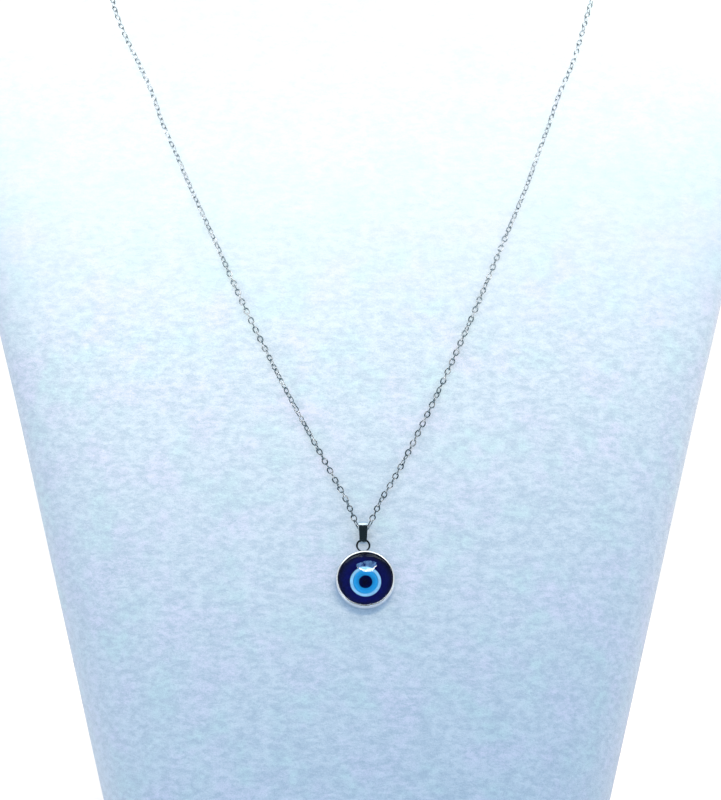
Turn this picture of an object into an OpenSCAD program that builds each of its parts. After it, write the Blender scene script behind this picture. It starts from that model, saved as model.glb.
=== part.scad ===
// Evil eye pendant on a cable chain, laid round a velvet neck bust.
// Millimetres, +Z up. The bust stands on Z = 0 and its chest faces -Y.
// A tiny pendant: a glass dome over a ringed eye, in a round metal setting
// whose soldered ring hangs in a folded metal bail on the chain.

/* [Neck bust] */
// Height from the base to the top of the neck
bust_h = 270; // [240:1:300]
// Width across the shoulder tips
bust_w = 206; // [190:1:220]
// Depth from the foot of the chest to the back of the neck
bust_d = 125; // [118:1:135]
// Squareness of a level section, where 2 is an ellipse
bust_square = 2.5; // [2.3:0.1:2.7]

/* [Chain] */
// Diameter of the round tube that stands for the links
chain_d = 1; // [0.8:0.05:1.1]
// Air left between the velvet and what lies on it
seat_gap = 0.3; // [0.25:0.05:0.5]

/* [Clasp] */
// Diameter of the barrel
clasp_d = 3; // [2.5:0.1:3.2]
// Length from end face to end face
clasp_l = 9; // [8:0.5:11]
// Length of the cone at each end
clasp_cone_l = 1.6; // [1:0.1:2.2]
// Diameter of the end faces
clasp_end_d = 1.6; // [1.2:0.1:2]
// Width of the groove where the two halves of the barrel meet
clasp_groove_w = 0.4; // [0.2:0.1:0.6]
// Depth of that groove
clasp_groove_depth = 0.2; // [0.1:0.05:0.3]
// Air between the barrel and each end of the chain
clasp_gap = 0.15; // [0.1:0.05:0.3]

/* [Bail] */
// Inside radius of the large eye, which the chain runs through
eye_r = 1.4; // [1.35:0.05:1.6]
// Inside radius of the small eye, which holds the ring
hook_r = 0.5; // [0.45:0.01:0.55]
// Distance between the middles of the two eyes
bail_reach = 2.9; // [2.7:0.1:3.4]
// Thickness of the metal strip
strip_t = 0.3; // [0.2:0.02:0.34]
// Width of the strip at the top
bail_top_w = 2.35; // [2:0.05:2.4]
// Width of the strip at the bottom
bail_low_w = 1.7; // [1.5:0.05:1.8]

/* [Setting] */
// Outside diameter of the round cup
cup_d = 14.2; // [13:0.1:15]
// Thickness of the cup's wall
cup_wall = 0.4; // [0.3:0.05:0.5]
// Thickness of the cup's floor
cup_floor = 0.4; // [0.3:0.05:0.6]
// Height of the cup over all
cup_h = 2; // [1.8:0.05:2.4]
// Bevel along the edges of the cup
cup_bevel = 0.12; // [0.05:0.01:0.14]
// Radius of the soldered ring, to the middle of its wire
ring_r = 1.54; // [1.52:0.01:1.7]
// Diameter of the ring's wire
ring_wire_d = 0.5; // [0.36:0.01:0.52]
// Distance from the cup's wall to the middle of the ring's wire
ring_stand = 0.06; // [0:0.01:0.12]
// Radius of the bead of solder at the foot of the ring
solder_r = 0.58; // [0.5:0.02:0.7]
// How far the ring's middle lies below the middle of the bail's small eye
ring_drop = 1.38; // [1.3:0.01:1.42]
// Turn of the pendant to the side, seen from the front
hang_roll = 3.5; // [0:0.5:5]

/* [Eye] */
// Diameter of the white ring
white_d = 6.7; // [6:0.1:7.2]
// Diameter of the blue ring
blue_d = 5.2; // [4.6:0.1:5.6]
// Diameter of the dark pupil
pupil_d = 2.8; // [2.2:0.1:3.4]
// How far the eye lies below the middle of the cup
eye_drop = 0.65; // [0:0.05:0.8]
// Thickness of the coloured layer
eye_t = 0.25; // [0.15:0.05:0.35]
// Air between the parts that lie in the cup
eye_gap = 0.04; // [0.03:0.01:0.06]

/* [Glass] */
// Height of the glass over all
glass_h = 3.7; // [3.2:0.1:4.4]
// Height of the straight edge below the dome
glass_edge_h = 1; // [0.8:0.05:1.2]

/* [Hidden] */
$fn = 64;

// Level sections of the bust, from the base up. Height is a share of bust_h, half width
// of half bust_w, and the front, side and back lie at shares of bust_d from the middle.
HEIGHT = 0;
HALF = 1;
FRONT = 2;
SIDE = 3;
BACK = 4;
BUST_SECTIONS = [
    [0.000, 0.597, -0.500, -0.020, 0.340],
    [0.130, 0.681, -0.393, 0.012, 0.352],
    [0.270, 0.770, -0.273, 0.052, 0.368],
    [0.400, 0.853, -0.159, 0.092, 0.384],
    [0.530, 0.938, -0.046, 0.132, 0.400],
    [0.650, 0.995, 0.052, 0.176, 0.416],
    [0.700, 1.000, 0.089, 0.200, 0.424],
    [0.740, 0.962, 0.115, 0.224, 0.432],
    [0.775, 0.852, 0.135, 0.244, 0.440],
    [0.810, 0.727, 0.152, 0.264, 0.448],
    [0.845, 0.612, 0.166, 0.282, 0.464],
    [0.880, 0.524, 0.175, 0.298, 0.476],
    [0.925, 0.460, 0.184, 0.314, 0.482],
    [0.985, 0.443, 0.192, 0.326, 0.482],
    [1.000, 0.413, 0.216, 0.326, 0.458],
];
BUST_SIDES = 56;
BUST_STEPS = 3;

// The chain's route over the bust, from the clasp round the left shoulder to the pendant
// and back round the right one. Turn is the angle round the bust, with -90 in front;
// height is a share of bust_h; to_bail and to_clasp say how far the chain has risen from
// its seat on the velvet to the height of the bail or of the clasp.
TURN = 0;
SHARE = 1;
TO_BAIL = 2;
TO_CLASP = 3;
ROUTE_LEFT = [
    [-248, 0.871, 0, 0.5],
    [-232, 0.871, 0, 0.15],
    [-214, 0.871, 0, 0.1],
    [-200, 0.870, 0, 0.15],
    [-189, 0.866, 0, 0.2],
    [-181, 0.854, 0, 0.25],
    [-175, 0.832, 0, 0.2],
    [-171.5, 0.800, 0, 0.15],
    [-168, 0.740, 0, 0.05],
    [-165.2, 0.680, 0, 0],
    [-159.5, 0.620, 0, 0],
    [-151.1, 0.560, 0, 0],
    [-140, 0.500, 0, 0],
    [-125.5, 0.440, 0, 0],
    [-111.9, 0.390, 0, 0],
    [-101, 0.350, 0.05, 0],
    [-94.3, 0.323, 0.4, 0],
];
ROUTE_RIGHT = [
    [-80.5, 0.323, 0.4, 0],
    [-73.3, 0.350, 0.05, 0],
    [-63.2, 0.390, 0, 0],
    [-51.1, 0.440, 0, 0],
    [-38.2, 0.500, 0, 0],
    [-28, 0.560, 0, 0],
    [-20.2, 0.620, 0, 0],
    [-15, 0.680, 0, 0],
    [-12.2, 0.740, 0, 0.05],
    [-9.4, 0.800, 0, 0.15],
    [-5.2, 0.832, 0, 0.2],
    [1, 0.854, 0, 0.25],
    [9, 0.866, 0, 0.2],
    [20, 0.870, 0, 0.15],
    [34, 0.871, 0, 0.1],
    [52, 0.871, 0, 0.15],
    [68, 0.871, 0, 0.5],
];
// The bight of the chain that runs through the bail: across as a share of bail_top_w,
// and up as a share of eye_r from the middle of the large eye.
ACROSS = 0;
UP = 1;
BIGHT = [
    [-0.96, 1.88],
    [-0.71, 0.75],
    [-0.49, -0.02],
    [-0.25, -0.28],
    [0, -0.32],
    [0.25, -0.28],
    [0.49, -0.02],
    [0.71, 0.75],
    [0.96, 1.88],
];
ROUTE_STEPS = 2;
CHAIN_SIDES = 8;

// Where the bail and the clasp lie on the bust: turn and share of the height.
HANG_POINT = [-87.7, 0.2955];
NAPE_POINT = [90, 0.871];

chain_seat = chain_d / 2 + seat_gap;
bail_seat = eye_r + strip_t + seat_gap;
clasp_seat = clasp_d / 2 + seat_gap;
ring_seat = cup_h / 2 + seat_gap;
cup_r = cup_d / 2;
well_r = cup_r - cup_wall;
glass_r = well_r - eye_gap;
glass_z = cup_floor + 2 * eye_gap + eye_t;

// Slope at row k of a table, per unit of its first column.
function slope(rows, k) =
    let (lo = max(k - 1, 0), hi = min(k + 1, len(rows) - 1))
    (rows[hi] - rows[lo]) / (rows[hi][HEIGHT] - rows[lo][HEIGHT]);

// Smooth curve through a table's rows, read at a value of its first column.
function read_table(rows, at) =
    let (
        below = [for (k = [0 : len(rows) - 2]) if (rows[k][HEIGHT] <= at) k],
        k = len(below) == 0 ? 0 : max(below),
        span = rows[k + 1][HEIGHT] - rows[k][HEIGHT],
        t = (at - rows[k][HEIGHT]) / span,
        u = 1 - t
    )
    (1 + 2 * t) * u * u * rows[k] + t * u * u * span * slope(rows, k)
        + t * t * (3 - 2 * t) * rows[k + 1] - t * t * u * span * slope(rows, k + 1);

// Point on the bust at a turn round it and a share of its height. A section is a
// superellipse whose front and back halves have depths of their own.
function on_bust(turn, share) =
    let (
        row = read_table(BUST_SECTIONS, share),
        half = row[HALF] * bust_w / 2,
        depth = (sin(turn) < 0 ? row[SIDE] - row[FRONT] : row[BACK] - row[SIDE]) * bust_d,
        reach = pow(pow(abs(cos(turn)) / half, bust_square)
            + pow(abs(sin(turn)) / depth, bust_square), -1 / bust_square)
    )
    [reach * cos(turn), row[SIDE] * bust_d + reach * sin(turn), share * bust_h];

// Point at a distance from the velvet, straight out of it.
function off_bust(turn, share, lift) =
    let (
        d_turn = 0.1,
        d_share = 0.0005,
        round_it = on_bust(turn + d_turn, share) - on_bust(turn - d_turn, share),
        up_it = on_bust(turn, share + d_share) - on_bust(turn, share - d_share),
        out = cross(round_it, up_it)
    )
    on_bust(turn, share) + lift * out / norm(out);

// Smooth curve through the rows of a list, with a few steps between two rows.
function smooth_rows(rows, steps) =
    let (last = len(rows) - 1)
    [for (k = [0 : last - 1], s = [0 : steps - 1])
        let (
            t = s / steps,
            before = k == 0 ? 2 * rows[0] - rows[1] : rows[k - 1],
            after = k == last - 1 ? 2 * rows[last] - rows[last - 1] : rows[k + 2]
        )
        (2 * rows[k] + (rows[k + 1] - before) * t
            + (2 * before - 5 * rows[k] + 4 * rows[k + 1] - after) * t * t
            + (3 * rows[k] - before - 3 * rows[k + 1] + after) * t * t * t) / 2,
        rows[last]];

// Point of the chain's middle line for one row of the route.
function on_route(row) = off_bust(row[TURN], row[SHARE], chain_seat
    + row[TO_BAIL] * (bail_seat - chain_seat) + row[TO_CLASP] * (clasp_seat - chain_seat));

// The bail's large eye, and the backward lean of the chest behind it.
hang_at = off_bust(HANG_POINT[TURN], HANG_POINT[SHARE], bail_seat);
chest_step = 0.01;
chest_rise = on_bust(HANG_POINT[TURN], HANG_POINT[SHARE] + chest_step)
    - on_bust(HANG_POINT[TURN], HANG_POINT[SHARE] - chest_step);
chest_lean = atan2(chest_rise.y, chest_rise.z);
along_chest = [0, sin(chest_lean), cos(chest_lean)];

// The bail's small eye, in the leaning frame of the large one.
hook_in = bail_seat - ring_seat;
hook_down = sqrt(bail_reach * bail_reach - hook_in * hook_in);
bail_turn = asin(hook_in / bail_reach);
ring_to_cup = cup_r + ring_stand + ring_r;

nape_at = off_bust(NAPE_POINT[TURN], NAPE_POINT[SHARE], clasp_seat);
clasp_half = [clasp_l / 2 + clasp_gap, 0, 0];
neck_mid = read_table(BUST_SECTIONS, NAPE_POINT[SHARE])[SIDE] * bust_d;

chain_route = concat(
    [nape_at - clasp_half],
    [for (row = smooth_rows(ROUTE_LEFT, ROUTE_STEPS)) on_route(row)],
    [for (row = BIGHT) hang_at + [row[ACROSS] * bail_top_w, 0, 0]
        + row[UP] * eye_r * along_chest],
    [for (row = smooth_rows(ROUTE_RIGHT, ROUTE_STEPS)) on_route(row)],
    [nape_at + clasp_half]
);

// Closed mesh of equal rings of points, with a flat face on the first and the last.
module skin(rings) {
    sides = len(rings[0]);
    last = len(rings) - 1;
    polyhedron(
        points = [for (ring = rings) each ring],
        faces = concat(
            [[for (i = [0 : sides - 1]) i]],
            [for (k = [0 : last - 1], i = [0 : sides - 1])
                let (j = (i + 1) % sides, a = k * sides, b = a + sides)
                each [[a + i, b + i, b + j], [a + i, b + j, a + j]]],
            [[for (i = [sides - 1 : -1 : 0]) last * sides + i]]
        )
    );
}

// One ring of a tube, square to the direction of its middle line.
function tube_ring(at, along, r) =
    let (
        x = along / norm(along),
        across = cross(x, [at.x, at.y - neck_mid, 0]),
        u = across / norm(across),
        v = cross(x, u)
    )
    [for (i = [0 : CHAIN_SIDES - 1])
        let (a = 360 * i / CHAIN_SIDES)
        at + r * (cos(a) * u + sin(a) * v)];

// Places the parts that hang from the chain: the large eye's middle is the origin,
// +Y points into the chest and +Z up along it.
module hung() {
    translate(hang_at) rotate([-chest_lean, 0, 0]) children();
}

// Places what is in the setting: the cup's back lies on XY and +Z points out of it.
module in_setting() {
    hung() translate([0, hook_in, -hook_down - ring_drop]) rotate([0, -hang_roll, 0])
        translate([0, cup_h / 2, -ring_to_cup]) rotate([90, 0, 0]) children();
}

// Block with two round ends and the straight legs between them. The legs run a little
// inside the line that touches both ends, so that they cross the round of each.
module eyelet(top_r, low_r, width) {
    inset = strip_t / 15;
    lean = asin((top_r - low_r) / bail_reach);
    leg = [cos(lean), -sin(lean)];
    mirrored = [-leg.x, leg.y];
    low_mid = [0, -bail_reach];
    rotate([90, 0, 90]) translate([0, 0, -width / 2]) {
        cylinder(r = top_r, h = width);
        translate(low_mid) cylinder(r = low_r, h = width);
        linear_extrude(width) polygon([
            (top_r - inset) * leg,
            (low_r - inset) * leg + low_mid,
            (low_r - inset) * mirrored + low_mid,
            (top_r - inset) * mirrored
        ]);
    }
}

// Level section of the bust at a share of its height, its points closer where it bends.
function bust_ring(share) =
    let (row = read_table(BUST_SECTIONS, share), power = 2 / bust_square)
    [for (i = [0 : BUST_SIDES - 1])
        let (
            a = 360 * i / BUST_SIDES,
            half = row[HALF] * bust_w / 2,
            depth = (sin(a) < 0 ? row[SIDE] - row[FRONT] : row[BACK] - row[SIDE]) * bust_d
        )
        [
            sign(cos(a)) * pow(abs(cos(a)), power) * half,
            row[SIDE] * bust_d + sign(sin(a)) * pow(abs(sin(a)), power) * depth,
            share * bust_h
        ]];

// Velvet display bust: chest, shoulders and the stump of the neck.
module neck_bust() {
    color("aliceblue") skin([for (row = smooth_rows(BUST_SECTIONS, BUST_STEPS))
        bust_ring(row[HEIGHT])]);
}

// The chain, as the round tube that its links fill.
module chain() {
    last = len(chain_route) - 1;
    color("silver") skin([for (k = [0 : last])
        tube_ring(chain_route[k],
            chain_route[min(k + 1, last)] - chain_route[max(k - 1, 0)], chain_d / 2)]);
}

// Barrel clasp at the nape, lying along X.
module clasp() {
    r = clasp_d / 2;
    end_r = clasp_end_d / 2;
    half_l = clasp_l / 2;
    half_groove = clasp_groove_w / 2;
    color("silver") translate(nape_at) rotate([0, 90, 0]) rotate_extrude()
        polygon([
            [0, -half_l],
            [end_r, -half_l],
            [r, clasp_cone_l - half_l],
            [r, -half_groove],
            [r - clasp_groove_depth, -half_groove],
            [r - clasp_groove_depth, half_groove],
            [r, half_groove],
            [r, half_l - clasp_cone_l],
            [end_r, half_l],
            [0, half_l]
        ]);
}

// Folded strip: a large eye for the chain, a small eye for the ring, tapering downwards.
module bail() {
    spare = strip_t;
    top = eye_r + strip_t;
    low = bail_reach + hook_r + strip_t;
    taper = (bail_top_w - bail_low_w) / 2 / (top + low);
    top_half = bail_top_w / 2 + taper * spare;
    low_half = bail_low_w / 2 - taper * spare;
    color("slategray") hung() rotate([bail_turn, 0, 0]) difference() {
        intersection() {
            eyelet(eye_r + strip_t, hook_r + strip_t, 2 * bail_top_w);
            rotate([90, 0, 0]) translate([0, 0, -top - spare])
                linear_extrude(2 * (top + spare)) polygon([
                    [-top_half, top + spare],
                    [top_half, top + spare],
                    [low_half, -low - spare],
                    [-low_half, -low - spare]
                ]);
        }
        eyelet(eye_r, hook_r, 3 * bail_top_w);
    }
}

// Round cup with its soldered ring.
module setting() {
    color("lightsteelblue") in_setting() {
        rotate_extrude() polygon([
            [0, 0],
            [cup_r - cup_bevel, 0],
            [cup_r, cup_bevel],
            [cup_r, cup_h - cup_bevel],
            [cup_r - cup_bevel, cup_h],
            [well_r + cup_bevel, cup_h],
            [well_r, cup_h - cup_bevel],
            [well_r, cup_floor],
            [0, cup_floor]
        ]);
        translate([0, ring_to_cup, cup_h / 2]) rotate_extrude()
            translate([ring_r, 0]) circle(d = ring_wire_d);
        translate([0, 0, (cup_h - ring_wire_d) / 2]) difference() {
            translate([0, cup_r, 0]) cylinder(r = solder_r, h = ring_wire_d);
            translate([0, 0, -cup_h]) cylinder(r = cup_r - cup_wall / 2, h = 3 * cup_h);
        }
    }
}

// Flat ring of the coloured layer; an inner diameter of 0 gives a whole disc.
// Its hole lies with the eye, and so does its outline unless another drop is given.
module eye_layer(outer_d, inner_d, outer_drop = eye_drop) {
    in_setting() translate([0, 0, cup_floor + eye_gap]) difference() {
        translate([0, -outer_drop, 0]) cylinder(d = outer_d, h = eye_t);
        if (inner_d > 0)
            translate([0, -eye_drop, -eye_t]) cylinder(d = inner_d + 2 * eye_gap, h = 3 * eye_t);
    }
}

// Dark blue field of the eye, which fills the cup round it.
module eye_field() {
    color("midnightblue") eye_layer(2 * glass_r, white_d, 0);
}

// White ring of the eye.
module eye_white() {
    color("white") eye_layer(white_d, blue_d);
}

// Light blue ring of the eye.
module eye_blue() {
    color("deepskyblue") eye_layer(blue_d, pupil_d);
}

// Dark pupil of the eye.
module eye_pupil() {
    color("black") eye_layer(pupil_d, 0);
}

// Clear glass dome on a straight edge, flat underneath.
module glass_dome() {
    rise = glass_h - glass_edge_h;
    dome_r = (glass_r * glass_r + rise * rise) / (2 * rise);
    color("azure", 0.5) in_setting() translate([0, 0, glass_z]) intersection() {
        cylinder(r = glass_r, h = 2 * glass_h);
        translate([0, 0, glass_h - dome_r]) sphere(dome_r);
    }
}

neck_bust();
chain();
clasp();
bail();
setting();
eye_field();
eye_white();
eye_blue();
eye_pupil();
glass_dome();
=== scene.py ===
"""Evil eye pendant on a cable chain, laid round a velvet neck bust.

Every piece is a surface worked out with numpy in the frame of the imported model, in metres: the chest
faces -Y, +Z is up and the bust stands on Z = 0.
"""

import logging
import math
from dataclasses import dataclass, replace
from enum import Enum
from typing import Any, Callable

import bpy
import numpy as np
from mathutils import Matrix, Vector


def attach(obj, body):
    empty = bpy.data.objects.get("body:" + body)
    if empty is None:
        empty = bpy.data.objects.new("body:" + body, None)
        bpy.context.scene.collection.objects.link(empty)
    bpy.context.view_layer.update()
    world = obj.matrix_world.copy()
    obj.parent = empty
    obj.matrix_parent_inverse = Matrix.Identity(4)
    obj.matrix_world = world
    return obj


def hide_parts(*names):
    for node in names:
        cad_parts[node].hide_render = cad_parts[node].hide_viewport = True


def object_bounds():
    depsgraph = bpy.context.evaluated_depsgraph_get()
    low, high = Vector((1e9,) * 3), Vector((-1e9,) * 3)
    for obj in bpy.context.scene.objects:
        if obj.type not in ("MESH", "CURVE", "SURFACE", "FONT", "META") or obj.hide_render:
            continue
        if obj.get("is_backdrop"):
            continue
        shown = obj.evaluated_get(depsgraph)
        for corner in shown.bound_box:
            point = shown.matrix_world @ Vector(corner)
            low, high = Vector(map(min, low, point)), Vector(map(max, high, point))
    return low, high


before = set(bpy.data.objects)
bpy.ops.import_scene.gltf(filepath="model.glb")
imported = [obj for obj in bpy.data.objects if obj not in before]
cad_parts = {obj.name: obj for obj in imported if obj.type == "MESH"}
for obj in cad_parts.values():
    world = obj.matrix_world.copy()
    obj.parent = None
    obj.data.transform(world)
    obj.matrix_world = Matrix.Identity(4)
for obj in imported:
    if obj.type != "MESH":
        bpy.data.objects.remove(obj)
CAD_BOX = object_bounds()

Array = np.ndarray
Rows = tuple[tuple[float, ...], ...]
Colour = tuple[float, float, float, float]
Box = tuple[float, float, float, float]
Shape = tuple[Array, Array]
Socket = bpy.types.NodeSocket
Object = bpy.types.Object
LOG = logging.getLogger("pendant")
MM = 0.001
# Radius at which a turned outline stops short of its axis, where a fan of triangles closes it.
PIN = 0.02 * MM


class Ends(Enum):
    """How the first and the last row of a grid of points are finished."""

    POLES = "poles"
    JOINED = "joined"


def unit(vectors: Array) -> Array:
    """Vectors of length 1, along the last axis."""
    return vectors / np.linalg.norm(vectors, axis=-1, keepdims=True)


def full_turn(count: int) -> Array:
    """Evenly spaced angles all round, in radians, from 0."""
    return np.arange(count) * 2 * np.pi / count


def smooth_rows(rows: Array, steps: int) -> Array:
    """Draws a Catmull-Rom curve through the rows of a table.

    Each stretch is the cubic that meets its two rows with slopes of half the distance between their
    neighbours. Past either end the curve goes on straight.

    Args:
        rows: Table with one row for each point, any number of columns.
        steps: Points for each stretch.

    Returns:
        The curve's points, as rows, with the last row itself at the end.
    """
    before = np.vstack([2 * rows[0] - rows[1], rows[:-2]])[:, None]
    after = np.vstack([rows[2:], 2 * rows[-1] - rows[-2]])[:, None]
    here, there = rows[:-1][:, None], rows[1:][:, None]
    t = (np.arange(steps) / steps)[None, :, None]
    points = (
        2 * here
        + (there - before) * t
        + (2 * before - 5 * here + 4 * there - after) * t**2
        + (3 * here - before - 3 * there + after) * t**3
    ) / 2
    return np.vstack([points.reshape(-1, rows.shape[1]), rows[-1:]])


def read_table(rows: Array, at: Array) -> Array:
    """Reads a table at values of its first column, along a smooth curve.

    Between two rows it is the cubic Hermite curve whose slope at a row is that of the line through
    the row's two neighbours.

    Args:
        rows: Table whose first column rises.
        at: Values of the first column.

    Returns:
        One row for each value.
    """
    first = rows[:, 0]
    low = np.maximum(np.arange(len(rows)) - 1, 0)
    high = np.minimum(np.arange(len(rows)) + 1, len(rows) - 1)
    slope = (rows[high] - rows[low]) / (first[high] - first[low])[:, None]
    k = np.clip(np.searchsorted(first, at, side="right") - 1, 0, len(rows) - 2)
    span = (first[k + 1] - first[k])[..., None]
    t = (np.asarray(at) - first[k])[..., None] / span
    u = 1 - t
    return (
        (1 + 2 * t) * u**2 * rows[k]
        + t * u**2 * span * slope[k]
        + t**2 * (3 - 2 * t) * rows[k + 1]
        - t**2 * u * span * slope[k + 1]
    )


def lengths(points: Array) -> Array:
    """Distance of each point of a polyline from its start, along it."""
    return np.concatenate([[0], np.cumsum(np.linalg.norm(np.diff(points, axis=0), axis=1))])


def along_line(points: Array, at: Array, rows: Array | None = None) -> Array:
    """Reads a polyline at distances along it.

    Args:
        points: The polyline's points, as rows.
        at: Distances from its start.
        rows: One row for each point, to be read in place of the points.

    Returns:
        One row for each distance.
    """
    known = points if rows is None else rows
    return np.stack([np.interp(at, lengths(points), column) for column in known.T], -1)


def rounded(corners: Array, radii: Array, steps: int = 4, guard: float = 0.35) -> Array:
    """Rounds the corners of an open outline.

    Each inner corner becomes the arc that touches both of its sides, with one more point on each side
    at a share of the radius past the arc's end, so that smooth shading stays on the arc.

    Args:
        corners: The outline's corners, as rows of two.
        radii: Radius at each corner, 0 for one that stays sharp.
        steps: Stretches in each arc.
        guard: Distance from an arc's end to the point that guards it, as a share of the radius.

    Returns:
        The rounded outline's points.
    """
    parts = [corners[:1]]
    for before, at, after, r in zip(corners[:-2], corners[1:-1], corners[2:], radii[1:-1]):
        if r == 0:
            parts.append(at[None])
            continue
        to_before, to_after = unit(before - at), unit(after - at)
        half = math.acos(float(np.clip(to_before @ to_after, -1, 1))) / 2
        reach = r / math.tan(half)
        middle = at + unit(to_before + to_after) * r / math.sin(half)
        start, end = at + to_before * reach, at + to_after * reach
        turn = np.linspace(0, 1, steps + 1)[:, None]
        sweep = math.pi - 2 * half
        arc = middle + (
            np.sin((1 - turn) * sweep) * (start - middle) + np.sin(turn * sweep) * (end - middle)
        ) / math.sin(sweep)
        parts.append(np.vstack([start + to_before * guard * r, arc, end + to_after * guard * r]))
    parts.append(corners[-1:])
    return np.vstack(parts)


def revolve(profile: Array, sides: int) -> Array:
    """Turns a profile of radius and height round the Z axis.

    Args:
        profile: Rows of radius and height.
        sides: Points round the axis.

    Returns:
        Grid of points, one row for each point of the profile.
    """
    turn = full_turn(sides)
    r, z = profile[:, :1], profile[:, 1:]
    return np.stack([r * np.cos(turn), r * np.sin(turn), z + 0 * turn], -1)


@dataclass
class Surface:
    """A closed surface over a grid of points, made into one mesh object.

    Attributes:
        points: Grid of points, rows by columns by three. The columns always join up.
        ends: How the first and the last row are finished.
        uv_step: UV distance between two columns and between two rows.
    """

    points: Array
    ends: Ends = Ends.POLES
    uv_step: tuple[float, float] = (1.0, 1.0)

    def corners(self) -> tuple[Array, Array]:
        """Rows and columns of each quad's four corners, not yet wrapped round.

        Returns:
            Two arrays with four numbers for each quad.
        """
        rows, cols = self.points.shape[:2]
        k, i = np.meshgrid(
            np.arange(rows if self.ends is Ends.JOINED else rows - 1), np.arange(cols), indexing="ij"
        )
        row = np.stack([k, k, k + 1, k + 1], -1).reshape(-1, 4)
        col = np.stack([i, i + 1, i + 1, i], -1).reshape(-1, 4)
        return row, col

    def build(self) -> "Part":
        """Works out vertices, faces and UVs, with all faces pointing outwards.

        Returns:
            The vertices, faces and UVs.
        """
        rows, cols = self.points.shape[:2]
        row, col = self.corners()
        quads = (row % rows) * cols + col % cols
        quad_uv = np.stack([col * self.uv_step[0], row * self.uv_step[1]], -1)
        vertices = self.points.reshape(-1, 3)
        tris = np.zeros((0, 3), int)
        tri_uv = np.zeros((0, 3, 2))
        if self.ends is Ends.POLES:
            i = np.arange(cols)
            low, high = len(vertices), len(vertices) + 1
            vertices = np.vstack([vertices, self.points[0].mean(0), self.points[-1].mean(0)])
            last = (rows - 1) * cols
            low_fan = np.stack([(i + 1) % cols, i, 0 * i + low], -1)
            high_fan = np.stack([last + i, last + (i + 1) % cols, 0 * i + high], -1)
            tris = np.vstack([low_fan, high_fan])
            across = np.stack([i + 1, i, i + 0.5], -1) * self.uv_step[0]
            tri_uv = np.stack([np.vstack([across, across[:, [1, 0, 2]]]), np.zeros((2 * cols, 3))], -1)
            tri_uv[cols:, :, 1] = (rows - 1) * self.uv_step[1]
        return Part(vertices, quads, tris, quad_uv, tri_uv).outward()


@dataclass
class Part:
    """Vertices, faces and UVs of a mesh that isn't made yet.

    Attributes:
        vertices: Points, as rows.
        quads: Vertex numbers of each face of four.
        tris: Vertex numbers of each face of three.
        quad_uv: UV of each corner of each quad.
        tri_uv: UV of each corner of each triangle.
    """

    vertices: Array
    quads: Array
    tris: Array
    quad_uv: Array
    tri_uv: Array

    def outward(self) -> "Part":
        """The same part with its faces turned so that they point outwards.

        The volume is the sum over the triangles of their corners' triple products over six. Where it
        comes out negative, the faces are turned round.

        Returns:
            The part.
        """
        halves = np.vstack([self.quads[:, [0, 1, 2]], self.quads[:, [0, 2, 3]], self.tris])
        a, b, c = (self.vertices[halves[:, n]] for n in range(3))
        volume = float(np.einsum("ij,ij->i", a, np.cross(b, c)).sum()) / 6
        if volume >= 0:
            return self
        turned = (rows[:, ::-1] for rows in (self.quads, self.tris, self.quad_uv, self.tri_uv))
        return Part(self.vertices, *turned)

    def placed(self, place: "Place") -> "Part":
        """The same part, moved from a local frame into the model's."""
        return replace(self, vertices=place.out(self.vertices))


def joined(parts: list[Part]) -> Part:
    """Puts several parts into one, their vertices numbered on."""
    starts = np.cumsum([0] + [len(p.vertices) for p in parts[:-1]])
    return Part(
        np.vstack([p.vertices for p in parts]),
        np.vstack([p.quads + s for p, s in zip(parts, starts)]),
        np.vstack([p.tris + s for p, s in zip(parts, starts)]),
        np.vstack([p.quad_uv for p in parts]),
        np.vstack([p.tri_uv for p in parts]),
    )


def turned(profile: Array, sides: int) -> Part:
    """The closed surface of a profile turned round the Z axis."""
    return Surface(revolve(profile, sides), Ends.POLES, (1 / sides, 0.02)).build()


@dataclass(frozen=True)
class Place:
    """A local frame: an origin and three unit axes, as the rows of a matrix."""

    origin: Array
    axes: Array

    def out(self, points: Array) -> Array:
        """Points of the local frame, in the model's frame."""
        return points @ self.axes + self.origin

    def inner(self, origin: Array, axes: Array) -> "Place":
        """A frame given inside this one."""
        return Place(self.out(origin), axes @ self.axes)


def about_x(degrees: float) -> Array:
    """Axes of a frame that is turned about X, as rows."""
    c, s = math.cos(math.radians(degrees)), math.sin(math.radians(degrees))
    return np.array([[1, 0, 0], [0, c, s], [0, -s, c]])


def about_y(degrees: float) -> Array:
    """Axes of a frame that is turned about Y, as rows."""
    c, s = math.cos(math.radians(degrees)), math.sin(math.radians(degrees))
    return np.array([[c, 0, -s], [0, 1, 0], [s, 0, c]])


def add_object(name: str, data: bpy.types.ID) -> Object:
    """Makes an object at the origin and links it to the scene."""
    new = bpy.data.objects.new(name, data)
    bpy.context.scene.collection.objects.link(new)
    return new


def add_plain(name: str, shape: Shape, material: bpy.types.Material) -> Object:
    """Makes an object of plain faces from a shape's points and faces."""
    mesh = bpy.data.meshes.new(name)
    mesh.from_pydata(shape[0].tolist(), [], shape[1].tolist())
    mesh.materials.append(material)
    return add_object(name, mesh)


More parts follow.
